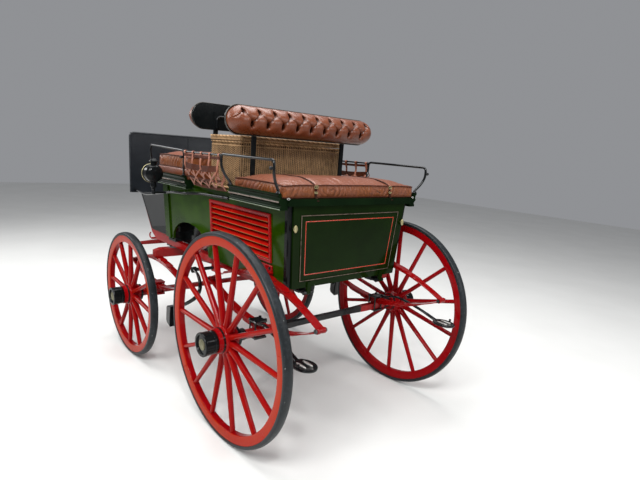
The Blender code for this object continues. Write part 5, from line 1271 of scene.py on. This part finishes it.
ROLL_RADIUS, ROLL_DEPTH = 0.076, 0.088
QUARTER = 0.129


def pleat(across, along, start, end, amount, curved=True, fade=0.0):
    """One pleat: a crease that is sharp on one side, and the soft hollow round it; S-shaped where curved."""
    y0, s0 = start
    y1, s1 = end
    steep = abs(s1 - s0) > 0.02
    u = (along - s0) / (s1 - s0) if steep else (across - y0) / (y1 - y0)
    way = np.clip(u, 0, 1)
    bend = way * way * (3 - 2 * way) if curved else way
    if steep:
        d = (across - (y0 + (y1 - y0) * bend)) * (0.78 if curved else 0.97)
    else:
        d = along - (s0 + (s1 - s0) * bend)
    over = np.maximum(np.maximum(-u, u - 1), 0) * max(abs(s1 - s0), abs(y1 - y0))
    strength = amount * bell(over, 0.006) * (1 - fade * way)
    return strength * bell(d, np.where(d > 0, 0.0034, 0.0085)), strength * 0.5 * bell(d, 0.0165)


def pleat_lines(tops, lows, half):
    """The pleats between the buttons, up from the top row, out to the ends and down from the lower row."""
    lines = []
    for k, top in enumerate(tops):
        lines += [(top, lows[j], 0.0078) for j in (k - 1, k) if 0 <= j < len(lows)]
        lines.append((top, (top[0], QUARTER), 0.0042, False, 0.5))
    for top, out in ((tops[0], -1), (tops[-1], 1)):
        lines.append((top, (out * half, 0.010), 0.0075, False, 0.2))
    for y, s in lows:
        lines += [((y, s), (y + out, s - 0.0275), 0.0040, False, 0.9) for out in (-0.012, 0.012)]
    return lines


def tufted_roll(name, back_x, z_mid, half, side, buttons):
    """A sewn roll: two staggered rows of deep buttons joined by S-shaped pleats, over a smooth lower part."""
    pitch = 0.105
    tops, lows = (
        [((k - (count - 1) / 2) * pitch, QUARTER * math.asin(level) / (math.pi / 2)) for k in range(count)]
        for count, level in ((buttons, 0.62), (buttons - 1, -0.27))
    )

    # The plain roll, by places along it and round its section
    ny, ns = ((561, 113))
    t = np.linspace(-1, 1, ny)
    phi = np.linspace(-math.pi / 2, math.pi / 2, ns)
    places = (half - 0.0004) * np.sign(t) * (1 - (1 - np.abs(t)) ** 1.18)
    Y, S = np.meshgrid(places, QUARTER * phi / (math.pi / 2), indexing="ij")
    W = np.broadcast_to(np.sin(phi), Y.shape)
    inside = np.abs(Y) - (half - ROLL_RADIUS)
    reach = np.where(inside <= 0, ROLL_RADIUS, np.sqrt(np.maximum(ROLL_RADIUS**2 - inside**2, 1e-7)))
    ends = np.sqrt(np.clip(1 - (1 - np.minimum((half - np.abs(Y)) / ROLL_RADIUS, 1)) ** 2, 0, 1))
    full = ROLL_DEPTH * np.sqrt(1 - W * W * 0.92) * (0.35 + 0.65 * ends)

    # Buttons draw it in, pleats crease it, and it puffs out between them
    pit, crease, puff = np.zeros_like(Y), np.zeros_like(Y), np.ones_like(Y)
    for y, s in tops + lows:
        away = np.hypot((Y - y) / 0.92, (S - s) / 1.5)
        pit += 0.0265 * bell(away, 0.0098) + 0.0110 * bell(away, 0.021)
        puff *= 1 - bell(away, 0.018)
    for line in pleat_lines(tops, lows, half):
        sharp, soft = pleat(Y, S, *line)
        crease = np.maximum(crease, sharp)
        pit += soft * 0.5
    spots = zip(Y.ravel(), S.ravel())
    grain = np.array([noise.noise(Vector((y * 16, s * 22, side * 3.0))) for y, s in spots]).reshape(Y.shape)
    swell = 0.0035 * puff * np.clip(np.cos(phi * 0.9), 0, 1)[None, :]
    depth = np.maximum(full + swell * ends - pit - crease + 0.0011 * grain, 0.009)
    X, Z = back_x + side * depth, z_mid + reach * W

    # Each row ends on the board behind, drawn in a little
    rows = []
    for i in range(ny):
        low, high = ((back_x + side * 0.0012, Y[i, j], Z[i, j] * 0.94 + z_mid * 0.06) for j in (0, -1))
        rows.append([low, *zip(X[i], Y[i], Z[i]), high])
    # Painted shade in the creases and button pits, and a painted highlight on the roll's upper half
    dark = np.clip(crease / 0.0105 * 0.42 + np.clip(pit - 0.0095, 0, 1) / 0.011, 0, 1)
    lit = np.clip(np.clip(W * 0.9 - 0.05, 0, 1) * (1 - dark) * (0.6 + 0.6 * grain), 0, 1)
    fold, top = (np.pad(value, ((0, 0), (1, 1)), "edge").ravel() for value in (dark, lit))
    made = build(f"{name}_roll", grid(rows, caps=True), ROLL_LEATHER, smooth=0, hides=(f"{name}_back_roll",),
                 values={"fold": fold, "top": top})
    made.data.shade_smooth()

    dome = lathe([(0, 0.004), (0.0035, 0.0035), (0.0060, 0.0018), (0.0070, -0.001), (0.0060, -0.004),
                  (0, -0.006)], 18, "x")
    studs = []
    for y, s in tops + lows:
        level = math.sin(s / QUARTER * math.pi / 2)
        x = back_x + side * (ROLL_DEPTH * math.sqrt(1 - level * level * 0.92) - 0.0335)
        place = Matrix.Translation((x, y, z_mid + ROLL_RADIUS * level))
        lean = Matrix.Rotation(-side * math.asin(level) * 0.55, 4, "Y")
        studs.append(moved(dome, place @ lean @ Matrix.Diagonal((side, 1, 1.15, 1))))
    build(f"{name}_roll_buttons", studs, BUTTONS, smooth=60)


def board_rim(name, x, z_mid, half):
    """The piping round a backboard, a half circle at each end."""
    r = 0.080
    half_turn = np.linspace(-math.pi / 2, math.pi / 2, 25)
    path = [(x, half - r + 0.004 + r * math.cos(t), z_mid + r * math.sin(t)) for t in half_turn]
    path += [(x, -y, z) for x, y, z in reversed(path)]
    build(f"{name}_board_rim", tube(path, 0.0032, 10, loop=True), BOARD_RIM, smooth=60)


ROLLS = (("rear", 0.292, 1.687, 0.543, -1, 10), ("front", 0.775, 1.715, 0.50, 1, 9))
for name, back_x, z_mid, half, side, buttons in ROLLS:
    tufted_roll(name, back_x, z_mid, half, side, buttons)
for name, back_x, z_mid, half, side, _buttons in ROLLS:
    board_rim(name, back_x - side * 0.0004, z_mid, half)


# The hamper: rods woven in and out of upright stakes

DECK = BODY_TOP + 0.0136
HAMPER = (0.365, 0.728, 0.395)
HAMPER_TOP = DECK + 0.0004 + 0.288
LID = (HAMPER[0] - 0.004, HAMPER[1] + 0.008, HAMPER[2] + 0.008)
UP = Vector((0, 0, 1))


def toward(degrees):
    """A level direction by its angle."""
    return Vector((math.cos(math.radians(degrees)), math.sin(math.radians(degrees)), 0))


def hoop(box, inset, r, count):
    """count places evenly round a rectangle with rounded corners, as (point, outward normal) pairs."""
    x0, x1, half = box[0] + inset, box[1] - inset, box[2] - inset
    straight_x, straight_y, arc = x1 - x0 - 2 * r, 2 * half - 2 * r, math.pi * r / 2
    corners = ((x1 - r, half - r), (x0 + r, half - r), (x0 + r, r - half), (x1 - r, r - half))
    starts = ((x1, r - half), (x1 - r, half), (x0, half - r), (x0 + r, -half))
    made = []
    for k in range(count):
        d = (2 * (straight_x + straight_y) + 4 * arc) * k / count
        for side, length in enumerate((straight_y, straight_x, straight_y, straight_x)):
            if d < length:
                made.append((Vector((*starts[side], 0)) + toward(90 * side + 90) * d, toward(90 * side)))
                break
            d -= length
            if d < arc:
                out = toward(90 * side + math.degrees(d / r))
                made.append((Vector((*corners[side], 0)) + out * r, out))
                break
            d -= arc
    return made


def woven_row(places, z, number, amount, high, wide):
    """One rod woven round the stakes."""
    rows = []
    for i, (point, out) in enumerate(places):
        wave = math.cos(math.pi * i / 2 + math.pi * number)
        shake = noise.noise(Vector((i * 0.37, number * 1.7, 0))) * 0.0006
        middle = point + out * (amount * wave) + UP * (z + shake)
        rows.append([middle + out * a + UP * b for a, b in ring(1.0, 6, wide, high)])
    return torus(rows)


def rope(box, inset, r, z, count, lay, radius, twists, strands=3):
    """Strands laid round each other on their way round a hoop."""
    frames = frames_along([point + UP * z for point, _out in hoop(box, inset, r, count)], loop=True)
    made = []
    for k in range(strands):
        line = []
        for i, (point, side, up) in enumerate(frames):
            a = 2 * math.pi * (twists * i / count + k / strands)
            line.append(point + side * (lay * math.cos(a)) + up * (lay * math.sin(a)))
        made.append(tube(line, radius, 7, loop=True))
    return made


def rod_shade(i, row):
    """How much painted shade a rod gets at a place: most between two stakes, some where it passes behind one,
    none in front of one.
    """
    if i % 2:
        return 0.85 + 0.4 * noise.noise(Vector((i * 5.3, 7.0, row * 0.2)))
    return 0.6 if (i // 2 + row) % 2 else 0.0


def wicker(name, shapes, body="carriage", finish=WICKER, **more):
    build(name, shapes, finish, body, smooth=60, **more)


def hamper_wall(places, low, high):
    """The woven wall; painted shade darkens the joints between rods and the rods by the stakes, and each rod
    has its own tone.
    """
    rows = 40
    pitch = (high - low) / rows
    # Painted shade on the upper and lower sides of each rod
    joints = (0, 0.5, 0.5, 0, 0.5, 0.5)
    shapes, tones, folds = [], [], []
    for k in range(rows):
        shape = woven_row(places, low + pitch * (k + 0.5), k, 0.0040, pitch * 0.53, 0.0018)
        shapes.append(shape)
        folds += [max(joint, rod_shade(i, k)) for i in range(len(places)) for joint in joints]
        rod = 0.5 + 0.5 * noise.noise(Vector((k * 2.3, 4.0, 1.0))) + (0.12 if k % 9 == 4 else 0)
        for x, y, _z in shape[0]:
            patch = 0.5 + 0.5 * noise.noise(Vector((x * 60 + k * 7, y * 60, k * 3.0)))
            tones.append(1.6 * (patch * 0.5 + rod * 0.5 - 0.5) + 0.5)
    values = {"tint": np.clip(tones, 0, 1), "fold": folds}
    wicker("hamper_weave", shapes, values=values, hides=("hamper_basket",))


def hamper_basket():
    """The basket with its stakes, borders and floor."""
    x0, x1, half = HAMPER
    places = hoop(HAMPER, 0.0062, 0.016, 304)
    low, high = DECK + 0.016, HAMPER_TOP - 0.031
    hamper_wall(places, low, high)
    foot, head = UP * (DECK + 0.006), UP * (HAMPER_TOP - 0.006)
    stakes = [tube([point + foot, point + head], 0.0026, 8) for point, _out in places[::2]]
    wicker("hamper_stakes", stakes, tints=[0.3 + 0.4 * (i % 3) / 2 for i in range(len(stakes))])
    borders = rope(HAMPER, 0.003, 0.018, DECK + 0.0085, 900, 0.0037, 0.0033, 130)
    borders += rope(HAMPER, 0.0035, 0.018, HAMPER_TOP - 0.0068, 900, 0.0034, 0.0031, 60)
    borders += rope(HAMPER, 0.0045, 0.018, high + 0.003, 900, 0.0026, 0.0022, 150, 2)
    wicker("hamper_borders", borders, tints=[1.0, 0.0, 0.6] * 2 + [0.2, 0.9])

    # A dark band inside, a sheet of painted shade, so that no light comes through under the lid
    middle = (high + HAMPER_TOP - 0.012) / 2
    band = [[point - out * 0.0085 + out * a + UP * (middle + b) for a, b in ring(1.0, 8, 0.0012, 0.0115)]
            for point, out in places[::2]]
    wicker("hamper_inner_band", torus(band), finish=PAINTED_SHADE_WILLOW)
    floor = []
    reach = half - 0.012
    for k in range(30):
        x = x0 + 0.016 + (x1 - x0 - 0.032) * k / 29
        rod = []
        for i in range(41):
            wave = 0.0022 * math.cos(math.pi * (i + k))
            rod.append((x, -reach + 2 * reach * i / 40, DECK + 0.0075 + wave))
        floor.append(tube(rod, 0.0058, 6, scale=lambda t: (1, 0.42)))
    wicker("hamper_floor", floor, tints=[0.35 + 0.1 * (i % 3) for i in range(30)])


def hamper_lid():
    """The lid: rods woven across ribs, in a rim of two ropes and two woven rows."""
    x0, x1, half = LID
    base, top = HAMPER_TOP + 0.0012, HAMPER_TOP + 0.032
    body = "hamper_lid_body"
    middle, reach = top - 0.0068, half - 0.012
    pitch = 0.0062
    weave, tints = [], []
    for k in range(int((x1 - x0 - 0.03) / pitch)):
        x = x0 + 0.015 + pitch * (k + 0.5)
        rod = []
        for i in range(77):
            wave = 0.0024 * math.cos(math.pi * (i / 2 + k))
            rod.append((x, -reach + 2 * reach * i / 76, middle + wave))
        weave.append(sweep(rod, ring(1.0, 6, 0.0030, 0.0019), flat=(1, 0, 0)))
        tints.append(0.5 + 0.5 * noise.noise(Vector((k * 1.9, 0.3, 2.0))))
    wicker("lid_weave", weave, body, tints=tints, hides=("hamper_lid",))
    ribs = []
    for i in range(1, 38):
        y = -reach + 2 * reach * i / 38
        ribs.append(tube([(x0 + 0.010, y, middle), (x1 - 0.010, y, middle)], 0.0024, 8))
    wicker("lid_ribs", ribs, body, tints=[0.4] * len(ribs))
    places = hoop(LID, 0.0052, 0.018, 236)
    rim = [woven_row(places, base + 0.0108 + 0.0052 * k, k, 0.0030, 0.0026, 0.0016) for k in range(2)]
    rim += rope(LID, 0.0068, 0.020, middle, 1000, 0.0036, 0.0031, 56)
    rim += rope(LID, 0.0055, 0.020, base + 0.0045, 1000, 0.0025, 0.0020, 150)
    wicker("lid_rim", rim, body, tints=[0.5, 0.2, 1.0, -0.3, 0.6, 0.9, -0.2, 0.4])


hamper_basket()
hamper_lid()


# Rails with their feet and knobs, the bar between them and the strap nets

NET_FRONT, NET_BACK = 0.716, 0.269
FOOT = [(0, 0.0004), (0.0150, 0.0004), (0.0160, 0.0014), (0.0158, 0.0034), (0.0128, 0.0050), (0.0100, 0.0062),
        (0.0088, 0.0100), (0.0076, 0.0150), (0, 0.0152)]
KNOB = [(0.0055, 0.0), (0.0055, 0.010), (0.0080, 0.013), (0.0094, 0.0175), (0.0088, 0.0225), (0.0055, 0.0260),
        (0, 0.0268)]


def rail(side, back, front, back_foot, front_foot, rise):
    """One bent iron with turned feet and a knob."""
    y, foot_y, mid_y = side * RAIL_Y, side * 0.524, side * 0.557
    bend = 0.061
    path = [(back_foot, foot_y, SEAT_TOP + 0.002), (back_foot, foot_y, SEAT_TOP + 0.014),
            (back + (back_foot - back) * 0.4, mid_y, SEAT_TOP + 0.055),
            (back, y, RAIL_Z - bend), (back, y, RAIL_Z),
            (front, y, RAIL_Z + rise), (front, y, RAIL_Z + rise - bend),
            (front + (front_foot - front) * 0.5, mid_y, SEAT_TOP + 0.055),
            (front_foot, foot_y, SEAT_TOP + 0.014), (front_foot, foot_y, SEAT_TOP + 0.002)]
    shapes = [tube(rounded(path, [0, 0.010, 0.024, 0.03, 0.027, 0.027, 0.03, 0.024, 0.010, 0], 7), 0.0073, 16)]
    shapes += [turned(FOOT, (foot, foot_y, SEAT_TOP)) for foot in (back_foot, front_foot)]
    place = Matrix.Translation((back, y, RAIL_Z - 0.038)) @ facing(side)
    return shapes + [moved(lathe(KNOB, 24), place)]


def rails(label, side):
    """Both seats' rails on one side, with the bar between them in its two collars."""
    y = side * RAIL_Y
    shapes = rail(side, -0.219, NET_BACK, -0.190, 0.255, 0.003)
    shapes += rail(side, NET_FRONT, 1.225, 0.823, 1.255, 0.018)
    shapes.append(tube([(0.262, y, BAR_Z), (0.723, y, BAR_Z)], 0.0055, 14))
    collar = [(0.0055, -0.006), (0.0082, -0.004), (0.0088, 0.0), (0.0082, 0.004), (0.0055, 0.006)]
    shapes += [turned(collar, (x, y, BAR_Z), 18, "x") for x in (0.280, 0.705)]
    build(f"rails_{label}", shapes, IRON, smooth=50, hides=(f"seat_rails_{label}",))


def strap_net(label, side):
    """A strap net: looped over its bar, woven where straps cross, bellied out and gathered in below."""
    top = BAR_Z - 0.0055 - 0.0004
    high = top - (DECK + 0.004)
    x0, x1 = NET_BACK + 0.0095, NET_FRONT - 0.0095
    middle = (x0 + x1) / 2

    def place(x, down, off=0.0):
        """A point of the net, by its place along the bar and its share of the way down."""
        belly = 0.022 * math.sin(math.pi * min(down, 1)) - 0.062 * max(down, 0) ** 1.5
        sag = 0.003 * math.sin(x * 31 + side) * math.sin(math.pi * min(max(down, 0), 1))
        drift = 0.004 * math.sin(down * 5 + x * 40) * down
        x = middle + (x - middle) * (1 - 0.1 * down) + drift
        return Vector((x, side * (RAIL_Y + belly + sag + off), top - high * down))

    def over_under(at, crossings, number, depth, reach):
        """How far a strap stands out where it passes over or under the ones that it crosses."""
        return sum((depth if (number + k) % 2 else -depth) * math.exp(-(((at - crossing) / reach) ** 2))
                   for k, crossing in enumerate(crossings))

    def hanging(start, offsets):
        """A loose end's route from a point of the net."""
        return curve([start + Vector((dx, side * dy, dz)) for dx, dy, dz in offsets], 6)

    uprights = [x0 + 0.012 + (x1 - x0 - 0.024) * k / 4 for k in range(5)]
    levels = {0.055: 0.016, 0.36: 0.034, 0.70: 0.014, 0.955: 0.018}
    straps, tints = [], []
    for k, x in enumerate(uprights):
        over = []
        for i in range(9):
            a = math.radians(-20 + 220 * i / 8)
            over.append(Vector((x, side * (RAIL_Y - 0.0078 * math.cos(a)), BAR_Z + 0.0078 * math.sin(a))))
        back = [place(x, down, -0.0050) for down in (0.16, 0.10, 0.05)]
        front = []
        for i in range(1, 41):
            down = 0.02 + 0.97 * i / 40
            front.append(place(x, down, over_under(down, levels, k, 0.0022, 0.055)))
        straps.append(sweep(back + over + front, strap(0.0165, 0.0026), flat=(1, 0, 0)))
        tints.append(0.3 + 0.12 * k)
    rows = []
    for j, (level, wide) in enumerate(levels.items()):
        path = []
        droop = 0.010 if 0 < j < 3 else 0.004
        for i in range(61):
            x = x0 + 0.002 + (x1 - x0 - 0.004) * i / 60
            down = level + droop * math.sin(math.pi * i / 60) / high
            path.append(place(x, down, -over_under(x, uprights, j, 0.0026, 0.022)))
        rows.append(sweep(path, strap(wide, 0.0026), flat=(0, 0, 1)))
    for left, right, k in zip(uprights, uprights[1:], range(4)):
        for a, b, off in ((left, right, 0.0050), (right, left, -0.0050)):
            for start, reach in ((0.715, 0.23), (0.42, 0.27)):
                bow = 0.006 * math.sin(k * 2.3 + start * 9 + off * 400)
                path = []
                for i in range(15):
                    share, arch = i / 14, math.sin(math.pi * i / 14)
                    path.append(place(a + (b - a) * share + bow * arch, start + reach * share, off * arch))
                straps.append(sweep(path, bar(0.0100, 0.0022, 0.0007), flat=(1, 0, 0)))
                tints.append(0.35)
    build(f"net_{label}", straps, STRAP_LEATHER, smooth=35, tints=tints, hides=(f"strap_net_{label}",))
    build(f"net_levels_{label}", rows, LEVEL_LEATHER, smooth=35)
    tail = hanging(place(x0 + 0.004, 0.30, 0.003), (
        (0.0, 0.0, 0.0), (-0.012, 0.004, -0.004), (-0.016, 0.008, -0.020), (-0.006, 0.006, -0.034),
        (0.006, 0.004, -0.046), (0.004, 0.006, -0.066), (-0.004, 0.004, -0.084)))
    loose = hanging(place(x0 + 0.006, 0.80, 0.002), (
        (0.010, 0.0, -0.012), (-0.004, 0.002, 0.004), (-0.022, 0.004, 0.034), (-0.030, 0.006, 0.066),
        (-0.026, 0.010, 0.080), (-0.018, 0.010, 0.070), (-0.024, 0.004, 0.040), (-0.034, 0.002, 0.018)))
    ends = [sweep(tail, strap(0.011, 0.0024)), sweep(loose, strap(0.010, 0.0024))]
    build(f"net_end_{label}", ends, STRAP_LEATHER)


for label, side in SIDES:
    rails(label, side)
for label, side in SIDES:
    strap_net(label, side)


# Wing irons and lamps

LAMP_X, LAMP_Y, LAMP_Z, LAMP_RADIUS = 1.06, 0.622, 1.327, 0.058
STALK = [(0, 1.190), (0.0100, 1.190), (0.0120, 1.193), (0.0120, 1.206), (0.0105, 1.209), (0.0105, 1.222),
         (0.0125, 1.225), (0.0125, 1.2278), (0, 1.2280)]
DRUM = [(0.35, -0.042), (0.62, -0.0395), (0.84, -0.033), (0.96, -0.023), (0.985, -0.018), (1.01, -0.0165),
        (1.01, -0.0135), (0.985, -0.012), (0.99, 0.028), (1.02, 0.030), (1.02, 0.034), (1.00, 0.0355),
        (1.06, 0.039), (1.075, 0.0425), (1.06, 0.048), (0.97, 0.0490), (0.90, 0.0478), (0.87, 0.0440),
        (0.84, 0.0400), (0, 0.0380)]
LAMP_RIM = [(0.985, 0.0355), (1.062, 0.0392), (1.079, 0.0425), (1.064, 0.0484), (0.97, 0.0494), (0.91, 0.0482),
            (0.90, 0.0470)]
LENS = [(0.885, 0.0430), (0.70, 0.0455), (0.40, 0.0472), (0, 0.0478)]
LAMP_FOOT = [(0, 0), (0.0085, 0), (0.0105, 0.003), (0.0185, 0.013), (0.0200, 0.017), (0.0186, 0.021)]
FOOT_NECK = [(0.0182, -0.050), (0.0205, -0.047), (0.0205, -0.043), (0.0182, -0.040), (0.0182, -0.03)]
CHIMNEY = [(0.0235, 0.030), (0.0235, 0.050), (0.0205, 0.053), (0.0200, 0.0735), (0.0290, 0.0780),
           (0.0302, 0.0800), (0.0285, 0.0830), (0.0150, 0.0950), (0.0090, 0.0990), (0, 0.1000)]


def wing(label, side):
    """The iron along the body and out round the footboard, with the lamp's bracket."""
    edge = side * body_half(1.24)
    path = curve([(0.37, edge + side * 0.0092, 1.243), (0.47, edge + side * 0.0132, 1.241),
                  (0.665, side * 0.485, 1.236), (0.8, side * 0.53, 1.226), (0.98, side * 0.535, 1.214),
                  (1.169, side * 0.535, 1.186), (1.45, side * 0.52, 1.15), (1.8148, side * 0.465, 1.15)], 12)
    shapes = [tube(path, 0.0080, 14), block(1.053, 1.067, side * 0.532, side * 0.626, 1.196, 1.208),
              turned(STALK, (LAMP_X, side * LAMP_Y, 0)),
              hexagon((0.42, edge + side * 0.0145, 1.242), 0.0085, -0.0015, 0.0045)]
    build(f"wing_{label}", shapes, IRON, hides=(f"wing_iron_{label}",))


def lamp(label, side):
    """A round lamp on its foot, with a chimney above, a brass rim and its lens."""
    at = Vector((LAMP_X, side * LAMP_Y, LAMP_Z))
    ahead = Matrix.Translation(at) @ Matrix.Rotation(-math.pi / 2, 4, "Z")
    drum = [(0, -0.0425)] + scaled(DRUM, LAMP_RADIUS)
    foot = scaled(LAMP_FOOT, 1, 1.2284 - LAMP_Z) + FOOT_NECK
    shapes = [moved(lathe(drum, 56), ahead), turned(foot, at, 32), turned(CHIMNEY, at, 36)]
    build(f"lamp_body_{label}", shapes, BLACK, hides=(f"lamp_{label}",))
    build(f"lamp_rim_{label}", moved(lathe(scaled(LAMP_RIM, LAMP_RADIUS), 56), ahead), BRASS)
    build(f"lamp_glass_{label}", moved(lathe(scaled(LENS, LAMP_RADIUS), 48), ahead), GLASS, smooth=60)


for label, side in SIDES:
    wing(label, side)
    lamp(label, side)


# The dash: leather drawn over a frame, with a rolled edge and a seam up its middle

DASH_LOW, DASH_HIGH = (1.822, 1.1206), (1.852, 1.587)
DASH_HALF = 0.488


def dash_panel():
    """The leather, a little hollow between its edges on the rear face and flat on the other."""
    rows = []
    for i in range(25):
        t = i / 24
        x, z = (low + (high - low) * t for low, high in zip(DASH_LOW, DASH_HIGH))
        row = []
        for j in range(41):
            v = -1 + 2 * j / 40
            near = min(1 - abs(v), t, 1 - t) * 12
            dent = 0.0012 * min(near, 1) * (1 + 0.5 * noise.noise(Vector((v * 3, t * 4, 0))))
            row.append((x - 0.0066 + dent, DASH_HALF * v, z))
        rows.append(row + [(x + 0.0054, -y, z) for _x, y, z in row])
    return solid(rows)


def dash():
    """The panel with its rolled edge and seam, and two rows of stitches beside the seam."""
    half, top = 0.49, DASH_HIGH[1]
    corners = [(1.8221, -half, 1.1212), (1.852, -half, top), (1.852, half, top), (1.8221, half, 1.1212)]
    rim = tube(rounded(corners, 0.034, 8), 0.0088, 16)
    seam = tube([(1.8150 + 0.0300 * t, 0.0, 1.131 + 0.452 * t) for t in np.linspace(0, 1, 16)], 0.0038)
    build("dash_leather", [dash_panel(), rim, seam], BLACK_LEATHER, smooth=45, hides=("dash_panel",))
    stitches = []
    for y in (-0.0085, 0.0085):
        for k in range(60):
            t = (k + 0.5) / 60
            x, z = 1.8150 + 0.0300 * t, 1.134 + 0.444 * t
            stitches.append(block(x - 0.0004, x + 0.0012, y - 0.0007, y + 0.0007, z - 0.0024, z + 0.0020))
    build("dash_stitching", stitches, STITCH, smooth=0)


dash()


# Floor, light and camera

def stage():
    """A plain pale floor."""
    reach = 14
    mesh = bpy.data.meshes.new("floor")
    corners = [(-reach, -reach, 0), (reach, -reach, 0), (reach, reach, 0), (-reach, reach, 0)]
    mesh.from_pydata(corners, [], [(0, 1, 2, 3)])
    floor = bpy.data.objects.new("floor", mesh)
    bpy.context.scene.collection.objects.link(floor)
    p = Paint("studio_floor", 0.85)
    p.colour(p.mix(p.span(p.noise(1.5), 0.3, 0.7), (0.74, 0.74, 0.72), (0.78, 0.78, 0.76)))
    mesh.materials.append(p.made)


def light(name, at, size, power, aim_z=0.9):
    """A rectangular lamp that looks at the carriage's middle."""
    data = bpy.data.lights.new(name, "AREA")
    data.shape = "RECTANGLE"
    data.size, data.size_y = size
    data.energy = power
    made = bpy.data.objects.new(name, data)
    made.location = at
    made.rotation_euler = (Vector((0, 0, aim_z)) - Vector(at)).to_track_quat("-Z", "Y").to_euler()
    bpy.context.scene.collection.objects.link(made)


def photo_camera():
    """The photo's own camera, solved from the wheels and the carriage's straight lines."""
    eye = Vector((-2.7496, 1.9079, 1.5475))
    ahead, right = Vector((0.7340, -0.6549, -0.1800)), Vector((-0.6543, -0.7530, 0.0712))
    above = Vector((0.1822, -0.0655, 0.9811))
    lens = bpy.data.cameras.new("photo")
    lens.lens = 27.2
    lens.sensor_width = 36
    lens.dof.use_dof = False
    camera = bpy.data.objects.new("photo", lens)
    bpy.context.scene.collection.objects.link(camera)
    camera.matrix_world = Matrix.Translation(eye) @ Matrix((right, above, -ahead)).transposed().to_4x4()
    bpy.context.scene.camera = camera


stage()
light("key", (-2.6, 4.0, 4.8), (2.6, 2.0), 260)
light("fill", (-5.5, -2.5, 3.4), (2.4, 2.0), 90)
light("over", (0.5, 0.0, 5.0), (4.5, 3.2), 250)
light("glint", (-3.6, 2.2, 4.6), (0.45, 0.45), 70)
light("back", (4.5, 2.5, 3.4), (2.2, 2.2), 90, aim_z=1.0)
world = bpy.data.worlds.new("studio")
world.use_nodes = True
sky = world.node_tree.nodes["Background"].inputs
sky["Color"].default_value = (0.93, 0.95, 1.0, 1)
sky["Strength"].default_value = 0.30
bpy.context.scene.world = world
bpy.context.scene.view_settings.view_transform = "Standard"
photo_camera()
